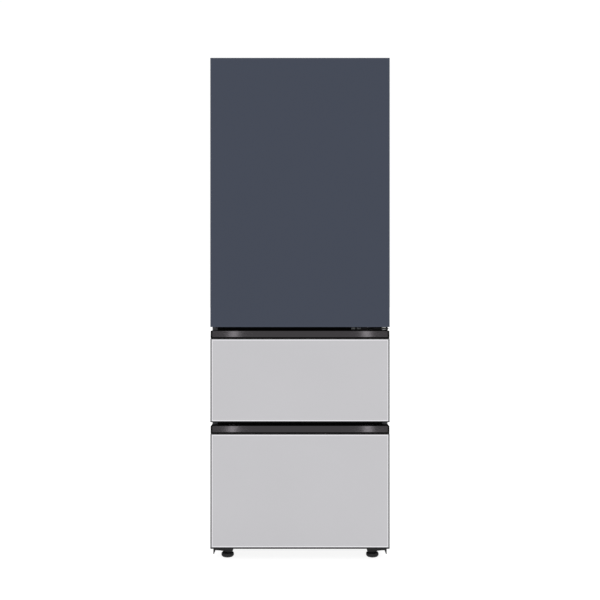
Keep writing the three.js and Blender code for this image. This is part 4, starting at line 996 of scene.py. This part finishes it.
class REFRIGERATOR_OT_cabinet(bpy.types.Operator):
    """Bent outer sheets, the back with its pressed beads and spacers, the rear cover and the gland."""

    bl_idname = "refrigerator.cabinet"
    bl_label = "Cabinet"

    def sides(self):
        for side, word in SIDES:
            node = f"side_panel_{word}"
            low, high = box(node)
            near, far = (low.x, high.x)[::side]
            path = rounded([(near, low.y), (far, low.y), (far, high.y)], SHEET_BEND, closed=False)
            panel = sheet(f"side_sheet_{word}", path, "Z", (low.z, high.z), -side * SHEET)
            fit(smooth(panel, 50), node, "cabinet_coat")

    def top(self):
        node = "top_panel"
        low, high = box(node)
        reach = box("side_panel_right")[0].x
        path = rounded([(low.y, low.z), (low.y, high.z), (high.y, high.z)], SHEET_BEND, closed=False)
        panel = sheet("top_sheet", path, "X", (0.3 - reach, reach - 0.3), SHEET)
        wings = [block("wing", (side * reach, low.y + 4, high.z - SHEET), (side * high.x, high.y, high.z))
                 for side, _ in SIDES]
        fit(smooth(fused("top_sheet", panel, *wings), 50), node, "cabinet_coat")
        screws("top_sheet_screw", node, [(x, 320, high.z) for x in (-270, -90, 90, 270)], UP, SCREW)

    def back(self):
        node = "back_panel"
        low, high = box(node)
        machine = box("machine_cover")[1]
        rear, ledge = machine.y, machine.z + 0.3
        path = rounded([(low.y, low.z), (low.y, ledge), (rear, ledge), (rear, high.z)], 3, closed=False)
        panel = sheet("back_sheet", path, "X", (low.x, high.x), -SHEET)
        half = 9
        beads = [((x - half, ledge + 90), (x + half, high.z - 240)) for x in (-200, -67, 67, 200)]
        beads += [((-240, z - half), (240, z + half)) for z in (ledge + 45, high.z - 190)]
        pressed = [
            rolled(block("bead", (x0, rear - 0.4, z0), (x1, rear + 1.8, z1)),
                   (lengthways, 8.6, 6),
                   (lambda edge: middle(edge).y > rear + 1.7, 1.7, 3))
            for (x0, z0), (x1, z1) in beads]
        fit(smooth(fused("back_sheet", panel, *pressed), 50), node, "cabinet_coat")
        reach, half, foot, head = 285, 20, high.z - 149, high.z - 49
        for side, word in SIDES:
            left, right = side * reach - half, side * reach + half
            core = soften(block("core", (left, rear, foot), (right, rear + 3, head)), 1, 3)
            levels = [foot + 8 + 13.6 * step for step in range(7)]
            grid = ribs(2, levels, 1.5, (left + 3, rear + 2.8, 0), (right - 3, high.y, 0), 0.8, 3)
            add(fused(f"wall_spacer_{word}", core, *grid), node, "black_plastic")
        edge = high.x - SCREW_INSET
        spots = [(side * edge, rear, z) for side, _ in SIDES for z in (280, 660, 1040, 1420, 1800)]
        spots += [(x, rear, high.z - SCREW_INSET) for x in (-160, 160)]
        screws("back_screw", node, spots, BACK, SCREW)

    def cover(self):
        node = "machine_cover"
        low, high = box(node)
        fit(soften(copy_of(node, "rear_cover_sheet"), 0.3), node, "cabinet_coat")
        rows, pitch, reach, half, tall = 7, 16, 160, 46, 3.4
        hoods = []
        for side, _ in SIDES:
            for row in range(rows):
                level = (low.z + high.z) / 2 + (row - rows // 2) * pitch + tall
                hood = block("hood", (side * reach - half, high.y - 0.3, level),
                             (side * reach + half, high.y + 4, level + tall))
                hoods.append(smooth(rolled(hood, (
                    lambda edge: middle(edge).y > high.y + 3.9
                    or (lengthways(edge) and middle(edge).z > level + 3), 2.2, 4))))
        add(fused("rear_cover_hoods", *hoods), node, "cabinet_coat")
        edge, under = high.x - SCREW_INSET, high.z - SCREW_INSET
        spots = [(side * edge, high.y, z) for side, _ in SIDES for z in (low.z + 20, high.z - 20)]
        spots += [(-40, high.y, under), (40, high.y, under), (0, high.y, low.z + SCREW_INSET)]
        screws("rear_cover_screw", node, spots, BACK, SCREW)

    def gland(self):
        node = "cord_gland"
        low, high = box(node)
        rim = (high.x - low.x) / 2
        profile = [
            (1, 0), (1, 4), (0.75, 4.2), (0.75, 6), (0.94, 6.2), (1, 7), (0.94, 8.2), (0.74, 8.6),
            (0.74, 9.4), (0.68, 9.6), (0.68, 10.4), (0.6, high.y - low.y)]
        piece = turned("cable_gland", [(rim * share, depth) for share, depth in profile],
                       ((low.x + high.x) / 2, low.y, (low.z + high.z) / 2), BACK, 40)
        fit(smooth(hollow(piece, BACK, 3.4, 5), 35), node, "black_rubber")

    def execute(self, context):
        self.sides()
        self.top()
        self.back()
        self.cover()
        self.gland()
        return {"FINISHED"}


LINER_WALL = 3
LINER_LIP = 12                  # from a liner's flange to its room
UPPER_CEILING = 29.7            # the same at the ceiling of the upper room
LOWER_FLOOR = 49.7              # and at the floor of the lower room
SHELF_SEAT = 6.3                # from a shelf's top to the ledge that it lies on


class REFRIGERATOR_OT_liners(bpy.types.Operator):
    """Vacuum-formed liners with rounded corners, a rolled mouth and the shelf ledges."""

    bl_idname = "refrigerator.liners"
    bl_label = "Compartment liners"

    def spread(self, piece, half, corner, levels, flange):
        """Draws the mouth's last edges out to the flange: its half width and two levels."""
        outer, *edges = flange
        rim = [vertex for vertex in piece.data.vertices if vertex.select]
        for side, _ in SIDES:
            for level, edge, way in zip(levels, edges, (-1, 1)):
                hub = Vector((side * (half - corner), level - way * corner))
                reach = Vector((side * outer, edge)) - hub
                arc = []
                for vertex in rim:
                    out = vertex.co.xz / MM - hub
                    if out.x * side > -1 and out.y * way > -1:
                        arc.append((out.angle(reach), len(arc), vertex, out))
                nearest = min(arc)[2]
                for _, _, vertex, out in arc:
                    share = min(reach[axis] / out[axis] if abs(out[axis]) > 1e-3 else 1e9 for axis in (0, 1))
                    spot = (hub + (reach if vertex is nearest else out * share)) * MM
                    vertex.co.x, vertex.co.z = spot

    def formed(self, name, room, flange, knee=None):
        """A tub of plastic: room is its (y, z) outline, flange its outer half width and two levels.

        A knee is the (y, z) of an edge that stands into the room: it keeps a small radius, so that the
        foam behind it stays covered.
        """
        corner = setting("liner_corner")
        half = box("duct_cover")[1].x + 75
        face = room[0][0]
        piece = bar(name, room, "X", (-half, half))
        with Editing(piece) as edit:
            edit.choose(lambda part: part.normal.y < -FACING
                        and part.calc_center_median().y / MM < face + LINER_WALL)
            bpy.ops.mesh.delete(type="FACE")
        if knee:
            rolled(piece, (lambda edge: runs(edge, ACROSS)
                           and math.dist(middle(edge)[1:], knee) < 1, 7, 5))
        with Editing(piece, "EDGE") as edit:
            edit.choose(lambda edge: edge.calc_face_angle(0) > 1)
            edit.bevel(corner, 6)
            edit.choose(lambda edge: edge.is_boundary)
            bpy.ops.mesh.extrude_edges_move()
        levels = min(z for _, z in room), max(z for _, z in room)
        self.spread(piece, half, corner, levels, flange)
        with Editing(piece, "EDGE") as edit:
            edit.choose(lambda edge: middle(edge).y < face + TOUCH and edge.calc_face_angle(0) > 1)
            edit.bevel(5, 4)
            bpy.ops.mesh.select_all(action="SELECT")
            bpy.ops.mesh.normals_make_consistent(inside=False)
        if max(piece.data.polygons, key=lambda part: part.center.y).normal.y > 0:
            with Editing(piece):
                bpy.ops.mesh.flip_normals()
        thicken(piece, LINER_WALL)
        return smooth(piece)

    def execute(self, context):
        for row in ("upper", *ROWS):
            node, name = f"{row}_liner", f"{row}_compartment_liner"
            low, high = box(node)
            face, back = low.y, high.y - LINER_WALL
            bottom = low.z + (LOWER_FLOOR if row == "lower" else LINER_LIP)
            top = high.z - (UPPER_CEILING if row == "upper" else LINER_LIP)
            room, knee = [(face, bottom), (back, bottom), (back, top), (face, top)], None
            if row == "lower":
                knee = (box("back_panel")[0].y - 25, box("machine_cover")[1].z + 50.3)
                room[1:2] = [(knee[0], bottom), knee, (back, knee[1])]
            piece = self.formed(name, room, (high.x, low.z, high.z), knee)
            if row == "upper":
                seats = []
                for near, far in map(box, SHELVES):
                    level = far.z - SHELF_SEAT
                    seats += ledges(level - 8, level, (277, 286), (near.y + 6, far.y - 1))
                piece = fused(name, piece, *seats)
            fit(piece, node, "liner_plastic")
        return {"FINISHED"}


# ---------- inside of the door ----------

class REFRIGERATOR_OT_seals(bpy.types.Operator):
    """Magnetic gaskets with a bellows section, round the door and both drawer fronts."""

    bl_idname = "refrigerator.seals"
    bl_label = "Seals"

    def execute(self, context):
        width, pleat, corner, folds = 16, 1.6, 22, 6
        for row in ("door", "middle_drawer", "lower_drawer"):
            node = f"{row}_gasket"
            low, high = box(node)
            levels = [low.y + (high.y - low.y) / folds * step for step in range(folds + 1)]
            outer = [(0 if step % 2 else -pleat, level) for step, level in enumerate(levels)]
            inner = [(-width - out, level) for out, level in reversed(outer)]
            piece = ring(f"{row}_seal", low.xz, high.xz, "Y", outer + inner, corner, 6)
            fit(smooth(piece, 55), node, "seal_vinyl")
        return {"FINISHED"}


class REFRIGERATOR_OT_door_inside(bpy.types.Operator):
    """Formed door liner with its raised rim and bin ledges, and two clear bins with white trims."""

    bl_idname = "refrigerator.door_inside"
    bl_label = "Inside of the door"

    def liner(self):
        node, name = "door_liner", "door_liner_shape"
        low, high = box(node)
        bin_edge = box("door_bin_upper")[1].x
        cavity_low, cavity_high = box("upper_liner")
        rim, inset = 24, 14
        outer = bin_edge + 0.3 + rim
        plate = rolled(block(name, low, (high.x, low.y + 3, high.z)), (lengthways, 12, 6))
        soften(plate, 1)
        section = rounded([(0, low.y + 1), (0, high.y), (-rim, high.y), (-rim, low.y + 1)], [0, 10, 10, 0], 5)
        dyke = ring("rim", (-outer, cavity_low.z + LINER_LIP + inset),
                    (outer, cavity_high.z - UPPER_CEILING - inset), "Y", section, 34, 8)
        seats = []
        for word in ("lower", "upper"):
            level = box(f"door_bin_{word}")[0].z
            seats += ledges(level - 8, level - 0.3, (bin_edge - 8, bin_edge + 1), (low.y + 2, high.y - 4))
        fit(smooth(fused(name, plate, dyke, *seats)), node, "liner_plastic")

    def bins(self):
        corner, floor = 18, 2.5
        for word in ("lower", "upper"):
            node = f"door_bin_{word}"
            low, high = box(node)
            tub = rolled(
                block(f"bin_{word}", low, high),
                (lambda edge: upright(edge) and middle(edge).y > low.y + 1, corner, 8),
                (lambda edge: middle(edge).z < low.z + 0.1 and middle(edge).y > low.y + 1, 6, 4))
            hollow(tub, UP, floor, high.z - low.z - floor)
            fit(soften(tub, 0.5, 2, 50), node, "bin_plastic")
            left, right, rear = low.x - 0.2, high.x + 0.2, high.y + 0.2
            start = low.y + (high.y - low.y) * 0.35
            path = rounded([(left, start), (left, rear), (right, rear), (right, start)],
                           [0, corner, corner, 0], 8, closed=False)
            band = sheet(f"bin_band_{word}", path, "Z", (high.z - 13, high.z - 1), 1.4)
            add(soften(band, 0.5, 2, 50), node, "liner_plastic")
            places = [low.x + (high.x - low.x) * step / 5 for step in range(1, 5)]
            made = ribs(0, places, 0.8, (0, low.y + 4, low.z + 2.4), (0, high.y - 6, low.z + 4.2), 0.4)
            add(fused(f"bin_floor_ribs_{word}", *made), node, "bin_plastic")

    def execute(self, context):
        self.liner()
        self.bins()
        return {"FINISHED"}


# ---------- upper compartment ----------

class REFRIGERATOR_OT_shelves(bpy.types.Operator):
    """Tempered glass shelves in white front, rear and side trims."""

    bl_idname = "refrigerator.shelves"
    bl_label = "Shelves"

    def execute(self, context):
        for word in ("lower", "upper"):
            node = f"shelf_{word}"
            low, high = box(node)
            level = high.z - 6
            glass = block(f"shelf_glass_{word}", (low.x + 3, low.y + 3, level + 0.8),
                          (high.x - 3, high.y - 5, high.z - 0.8))
            paint(soften(glass, 0.9, 3), "shelf_glass", "glass_edge")
            for face in glass.data.polygons:
                face.material_index = int(abs(face.normal.z) < 0.5)
            fit(glass, node)
            front = [(low.y, low.z), (low.y, high.z), (low.y + 14, high.z), (low.y + 14, high.z - 1.4),
                     (low.y + 5, level), (low.y + 5, low.z)]
            nose = bar(f"shelf_front_trim_{word}", rounded(front, [2, 3, 0.5, 0.5, 2, 1.5]),
                       "X", (low.x, high.x))
            add(soften(nose, 0.6, 2, 50), node, "liner_plastic")
            near = high.y - 12
            rear = bar(f"shelf_rear_trim_{word}",
                       rounded([(near, level), (near, high.z), (high.y, high.z), (high.y, level)], 1.2, 3),
                       "X", (low.x + 8, high.x - 8))
            add(soften(rear, 0.6, 2, 50), node, "liner_plastic")
            for side, hand in SIDES:
                rail = block(f"shelf_side_trim_{word}_{hand}", (side * high.x, low.y + 4, level),
                             (side * (high.x - 9), high.y - 1, high.z))
                add(soften(rail, 1.2, 3), node, "liner_plastic")
        return {"FINISHED"}


def fan(name, node, direction, radius, width, finish):
    """An axial fan in the middle of a node: a domed hub and curved blades with a twist."""
    low, high = box(node)
    half, count = width / 2, 5
    parts = [turned(name, [
        (radius * 0.34, -half), (radius * 0.36, 1 - half), (radius * 0.36, half - 3),
        (radius * 0.33, half - 1), (radius * 0.24, half), (radius * 0.1, half)], (0, 0, 0))]
    for index in range(count):
        bpy.ops.mesh.primitive_grid_add(x_subdivisions=8, y_subdivisions=8, size=1)
        blade = new_piece("blade")
        for vertex in blade.data.vertices:
            along, across = vertex.co.x + 0.5, vertex.co.y
            out = radius * (0.34 + 0.66 * along)
            spread = (0.62 + 0.28 * math.sin(along * math.pi * 0.8)) * (1 - 0.12 * (2 * across) ** 4 * along)
            angle = across * spread + along * 0.22 + index * math.tau / count
            lift = across * width * (0.94 - 0.34 * along) + 0.05 * width * math.cos(across * math.pi)
            lift = max(-half, min(half, lift))
            vertex.co = Vector((out * math.cos(angle), out * math.sin(angle), lift)) * MM
        thicken(blade, 1.6, 0)
        parts.append(blade)
    fit(smooth(placed(fused(name, *parts), (low + high) / 2, direction)), node, finish)


def finned_coil(name, node, low, high, fins, bends):
    """Thin fins across X on a pipe that runs to and fro, with round return bends at both ends."""
    pipe = 4.2
    inset = pipe * 3
    start, length, depth = low.x + inset, high.x - low.x - 2 * inset, (low.y + high.y) / 2
    parts = []
    for index in range(fins):
        x = start + length * index / (fins - 1)
        parts.append(block("fin", (x, low.y, low.z), (x + 0.5, high.y, high.z)))
    rise = (high.z - low.z) / bends
    for step in range(bends):
        level = low.z + rise * (step + 0.5)
        parts.append(turned("run", [(pipe, 0), (pipe, length)], (start, depth, level), ACROSS, 12))
        if step == bends - 1:
            break
        side = -1 if step % 2 else 1
        hub = Vector((start if side < 0 else start + length, depth, level + rise / 2)) * MM
        bpy.ops.mesh.primitive_torus_add(
            major_segments=24, minor_segments=12, major_radius=rise / 2 * MM, minor_radius=pipe * MM,
            location=hub, rotation=(math.pi / 2, 0, 0))
        bend = new_piece("bend")
        with Editing(bend):
            bpy.ops.mesh.bisect(plane_co=tuple(hub), plane_no=(side, 0, 0), clear_inner=True, use_fill=True)
        squeeze = Matrix.Diagonal((min(1, (inset - pipe) / (rise / 2)), 1, 1, 1))
        bend.data.transform(Matrix.Translation(hub) @ squeeze @ Matrix.Translation(-hub))
        parts.append(bend)
    fit(smooth(fused(name, *parts)), node, "fin_aluminium")


class REFRIGERATOR_OT_air_duct(bpy.types.Operator):
    """Duct cover with framed louvres and their slats, the fan boss, evaporator and circulation fan."""

    bl_idname = "refrigerator.air_duct"
    bl_label = "Air duct"

    def execute(self, context):
        node = "duct_cover"
        low, high = box(node)
        cover = rolled(copy_of(node, "air_duct_cover"), (
            lambda edge: middle(edge).y < low.y + 0.1 and (
                abs(abs(middle(edge).x) - high.x) < 0.1
                or min(middle(edge).z - low.z, high.z - middle(edge).z) < 0.1), 2.6, 5))
        fit(soften(cover, 0.4, 2, 50), node, "duct_plastic")
        half, reach, slot = 60, 120, 4
        section = rounded([(0, low.y + 0.3), (0, low.y - 2), (-4.6, low.y - 2), (-4.6, low.y + 0.3)],
                          [0, 1.2, 1.2, 0], 3)
        frames, fins = [], []
        for top in [box(shelf)[1].z - SHELF_SEAT for shelf in SHELVES] + [high.z]:
            for side, _ in SIDES:
                x, z = side * reach, top - 30
                frames.append(ring("frame", (x - half - 5, z - slot - 5), (x + half + 5, z + slot + 5),
                                   "Y", section, 7, 5))
                places = [x + (step - 4) * half / 4.6 for step in range(9)]
                fins += ribs(0, places, 0.8, (0, low.y + 0.2, z - slot), (0, low.y + 7, z + slot), 0.4)
        add(smooth(fused("louvre_frames", *frames)), node, "duct_plastic")
        add(fused("louvre_slats", *fins), node, "duct_plastic")
        fan_low, fan_high = box("circulation_fan")
        centre, radius = (fan_low + fan_high) / 2, (fan_high.x - fan_low.x) / 2
        boss = [(1.3, 0), (1.26, 1.6), (1.2, 2.2), (1.04, 2.2),
                (1, 1.2), (0.42, 1.2), (0.38, 2.4), (0.2, 2.8)]
        boss = turned("fan_boss", [(radius * share, tall) for share, tall in boss],
                      (centre.x, low.y, centre.z), -BACK, 72)
        add(smooth(boss, 35), node, "duct_plastic")
        fan("circulation_impeller", "circulation_fan", BACK, radius, fan_high.y - fan_low.y, "duct_plastic")
        finned_coil("evaporator_coil", "evaporator", *box("evaporator"), 44, 10)
        return {"FINISHED"}


class REFRIGERATOR_OT_controls(bpy.types.Operator):
    """Ceiling control panel with ringed buttons and small status lights, and the lamp lens."""

    bl_idname = "refrigerator.controls"
    bl_label = "Controls and lamp"

    def execute(self, context):
        node, lamp = "control_panel", "interior_lamp"
        low, high = box(node)
        level = low.z
        fit(soften(copy_of(node, "control_case"), 1.6, 3, 60), node, "duct_plastic")
        fascia = block("control_fascia", (low.x + 12, low.y + 6, level - 0.5),
                       (high.x - 12, low.y + 12, level + 0.3))
        add(soften(fascia, 0.3), node, "dark_brushed")
        radius = 9
        outer = radius + 3.2
        section = rounded([(0, level + 0.2), (0, level - 1.2), (-2.4, level - 1.2), (-2.4, level + 0.2)],
                          [0, 0.8, 0.5, 0], 3)
        for word in ("power", "mode"):
            button_low, button_high = box(f"{word}_button")
            centre, bottom, top = (button_low + button_high) / 2, button_low.z, button_high.z
            centre.z = 0
            reach = Vector((outer, outer))
            seat = ring(f"{word}_button_ring", centre.xy - reach, centre.xy + reach,
                        "Z", section, outer - TOUCH, 12)
            add(smooth(seat, 35), node, "dark_brushed")
            cap = turned(f"{word}_button_cap", [
                (5, top), (5, top - 4.2), (11, top - 4.2), (11, top - 6.2), (radius, top - 6.2),
                (radius, bottom + 0.9), (radius - 0.9, bottom), (radius * 0.62, bottom),
                (radius * 0.55, bottom + 0.5), (radius * 0.2, bottom + 0.7)], centre)
            fit(smooth(cap, 35), f"{word}_button", "button_plastic")
        lights = [turned("light", [(1.7, 0), (1.7, 0.5), (1, 1)], (x, low.y + 20, level + 0.2), -UP, 20)
                  for x in (-18, -9, 0, 9, 18)]
        add(smooth(fused("status_lights", *lights), 35), node, "lamp_lens")
        fit(soften(copy_of(lamp, "lamp_cover"), 1.4, 3), lamp, "lamp_lens")
        return {"FINISHED"}


# ---------- drawers ----------

class REFRIGERATOR_OT_drawer_boxes(bpy.types.Operator):
    """Deep drawer tubs with round corners, a ribbed floor and a rolled rim."""

    bl_idname = "refrigerator.drawer_boxes"
    bl_label = "Drawer tubs"

    def execute(self, context):
        rim, wall = 10, 3
        for row in ROWS:
            node, name = f"{row}_drawer_box", f"{row}_tub"
            low, high = box(node)
            floor, brim = low.z + wall, high.z - 3
            tub = rolled(
                block(name, (low.x + rim, low.y + rim, low.z), (high.x - rim, high.y - rim, high.z)),
                (upright, 24, 8),
                (lambda edge: middle(edge).z < low.z + 0.1, 14, 6))
            hollow(tub, UP, wall, high.z - floor)
            rolled(tub, (lambda edge: abs(middle(edge).z - floor) < 0.2, 11, 5))
            section = rounded([(0, brim), (0, high.z), (-rim - wall, high.z), (-rim - wall, brim)],
                              [1.2, 1.2, 1, 0], 3)
            lip = ring("lip", low.xy, high.xy, "Z", section, 34, 8)
            places = [low.y + (high.y - low.y) * step / 6 for step in range(1, 6)]
            made = ribs(1, places, 2, (-200, 0, floor - 0.3), (200, 0, floor + 1.6), 1.2, 3)
            fit(smooth(fused(name, tub, lip, *made)), node, "tub_plastic")
        return {"FINISHED"}


class REFRIGERATOR_OT_rails(bpy.types.Operator):
    """Bent steel rail channels, their sliders and the drawer frames, with fixing screws."""

    bl_idname = "refrigerator.rails"
    bl_label = "Rails"

    def channel(self, node, name, side):
        low, high = box(node)
        mouth, back = (low.x, high.x)[::side]
        path = rounded([(mouth, high.z), (back, high.z), (back, low.z), (mouth, low.z)], 3, closed=False)
        fit(smooth(sheet(name, path, "Y", (low.y, high.y), -side * 2)), node, "dull_zinc")

    def execute(self, context):
        for row in ROWS:
            for side, word in SIDES:
                self.channel(f"{row}_rail_{word}", f"{row}_fixed_rail_{word}", side)
                self.channel(f"{row}_slider_{word}", f"{row}_middle_rail_{word}", side)
            node = f"{row}_drawer_frame"
            low = box(node)[0]
            fit(soften(copy_of(node, f"{row}_carrier"), 0.5), node, "dull_zinc")
            screws(f"{row}_carrier_screw", node,
                   [(x, low.y + 3, low.z + 18) for x in (-240, -80, 80, 240)], BACK, 3.4, "dull_zinc")
        return {"FINISHED"}


# ---------- machine compartment ----------

class REFRIGERATOR_OT_machinery(bpy.types.Operator):
    """Compressor with its seam, stubs and rubber feet, finned condenser with fan, and the water tray."""

    bl_idname = "refrigerator.machinery"
    bl_label = "Machine compartment"

    def compressor(self):
        node = "compressor"
        low, high = box(node)
        x, y, base = (low.x + high.x) / 2, (low.y + high.y) / 2, low.z
        radius, seam = (high.x - low.x) / 2 - 14, (low.z + high.z) / 2
        turns = [(math.sin(step * math.pi / 12), math.cos(step * math.pi / 12)) for step in range(7)]
        shell = [(radius * (0.5 + 0.5 * sine), base + 10 + 24 * (1 - cosine)) for sine, cosine in turns]
        shell += [(radius, seam - 5), (radius + 3.4, seam - 3), (radius + 3.4, seam + 3), (radius, seam + 5)]
        shell += [(radius * (0.5 + 0.5 * cosine), high.z - 30 * (1 - sine)) for sine, cosine in turns]
        shell = smooth(turned("compressor_shell", shell, (x, y, 0), UP, 72), 35)
        plate = soften(block("plate", (low.x, low.y, base + 4), (high.x, high.y, base + 8)), 1.6, 3)
        foot = [(12, 0), (12, 3), (8, 4), (8, 9), (10.5, 10), (10.5, 13), (6, 14)]
        across, back = high.x - x - 13, high.y - y - 13
        feet = [turned("foot", foot, (x + side * across, y + way * back, base), UP, 24)
                for side in (-1, 1) for way in (-1, 1)]
        fit(fused("compressor_shell", shell, plate), node, "compressor_enamel")
        add(smooth(fused("compressor_feet", *feet), 35), node, "black_rubber")
        cover = block("terminal_cover", (x + radius * 0.5, y - radius - 1, base + 50),
                      (x + radius * 0.98, y - radius * 0.5, base + 100))
        add(soften(cover, 4, 4), node, "black_plastic")
        stubs = [turned("stub", [(4, 0), (4, 24), (3.2, 25), (3.2, 34)],
                        (x + across, y + back, high.z - 36), UP, 20)
                 for across, back in ((34, 52), (-34, 52), (0, 62))]
        add(smooth(fused("compressor_stubs", *stubs), 35), node, "copper_pipe")

    def execute(self, context):
        self.compressor()
        low, high = box("condenser")
        fan_low, fan_high = box("condenser_fan")
        low.x = fan_high.x + 16
        finned_coil("condenser_coil", "condenser", low, high, 26, 7)
        centre = (fan_low + fan_high) / 2
        shaft = turned("condenser_fan_shaft",
                       [(4, 0), (4, 3.5), (3.6, 4), (3.6, low.x - fan_low.x + 14)],
                       (fan_low.x, centre.y, centre.z), ACROSS, 24)
        add(smooth(shaft, 35), "condenser", "zinc_plate")
        fan("condenser_impeller", "condenser_fan", ACROSS, (fan_high.y - fan_low.y) / 2,
            fan_high.x - fan_low.x, "black_plastic")
        node = "evaporation_tray"
        low, high = box(node)
        tray = rolled(block("water_tray", low, high), (upright, 10, 6))
        hollow(tray, UP, 2, high.z - low.z - 2)
        fit(soften(tray, 0.7, 3, 50), node, "black_plastic")
        return {"FINISHED"}


# ---------- nodes whose own shape is right ----------

SOFTENED = {
    "upper_mullion": 0.8,
    "lower_mullion": 0.8,
    "door_case": 1.2,
    "middle_drawer_case": 1.2,
    "lower_drawer_case": 1.2,
}


class REFRIGERATOR_OT_plain_pieces(bpy.types.Operator):
    """Rounds the edges of the black cases and mullions, and gives the foam its finish."""

    bl_idname = "refrigerator.plain_pieces"
    bl_label = "Plain pieces"

    def execute(self, context):
        # the cases and mullions take the near-black, almost glossless plastic; on the mullions it also stands as
        # painted shade in the gaps between the fronts
        for node, edge in SOFTENED.items():
            fit(soften(copy_of(node, f"{node}_shape"), edge), node, "black_case")
        for node in ("cabinet_foam", "door_foam"):
            paint(frame["nodes"][node], "foam_core")
        return {"FINISHED"}


# ---------- panel, registration and making ----------

class REFRIGERATOR_PT_pieces(bpy.types.Panel):
    """Lists the steps that dress the refrigerator."""

    bl_label = "Kimchi refrigerator"
    bl_idname = "REFRIGERATOR_PT_pieces"
    bl_space_type = "VIEW_3D"
    bl_region_type = "UI"
    bl_category = "Refrigerator"

    def draw(self, context):
        for settings in (context.scene.refrigerator_finish, context.scene.refrigerator_shape):
            for field in settings.bl_rna.properties:
                if not field.is_readonly and field.identifier != "name":
                    self.layout.prop(settings, field.identifier)
        for step in STEPS:
            self.layout.operator(step.bl_idname)


SETTINGS = (FINISH_PG_settings, SHAPE_PG_settings)
STEPS = (
    REFRIGERATOR_OT_stage,
    REFRIGERATOR_OT_front_panels,
    REFRIGERATOR_OT_handles,
    REFRIGERATOR_OT_feet,
    REFRIGERATOR_OT_base,
    REFRIGERATOR_OT_hinges,
    REFRIGERATOR_OT_cabinet,
    REFRIGERATOR_OT_liners,
    REFRIGERATOR_OT_seals,
    REFRIGERATOR_OT_door_inside,
    REFRIGERATOR_OT_shelves,
    REFRIGERATOR_OT_air_duct,
    REFRIGERATOR_OT_controls,
    REFRIGERATOR_OT_drawer_boxes,
    REFRIGERATOR_OT_rails,
    REFRIGERATOR_OT_machinery,
    REFRIGERATOR_OT_plain_pieces,
)


def register():
    for part in (*SETTINGS, *STEPS, REFRIGERATOR_PT_pieces):
        bpy.utils.register_class(part)
    bpy.types.Scene.refrigerator_finish = PointerProperty(type=FINISH_PG_settings)
    bpy.types.Scene.refrigerator_shape = PointerProperty(type=SHAPE_PG_settings)


def unregister():
    del bpy.types.Scene.refrigerator_finish
    del bpy.types.Scene.refrigerator_shape
    for part in reversed((*SETTINGS, *STEPS, REFRIGERATOR_PT_pieces)):
        bpy.utils.unregister_class(part)


def main():
    register()
    make_finishes()
    for step in STEPS:
        group, name = step.bl_idname.split(".")
        getattr(getattr(bpy.ops, group), name)()


if __name__ == "__main__":
    main()
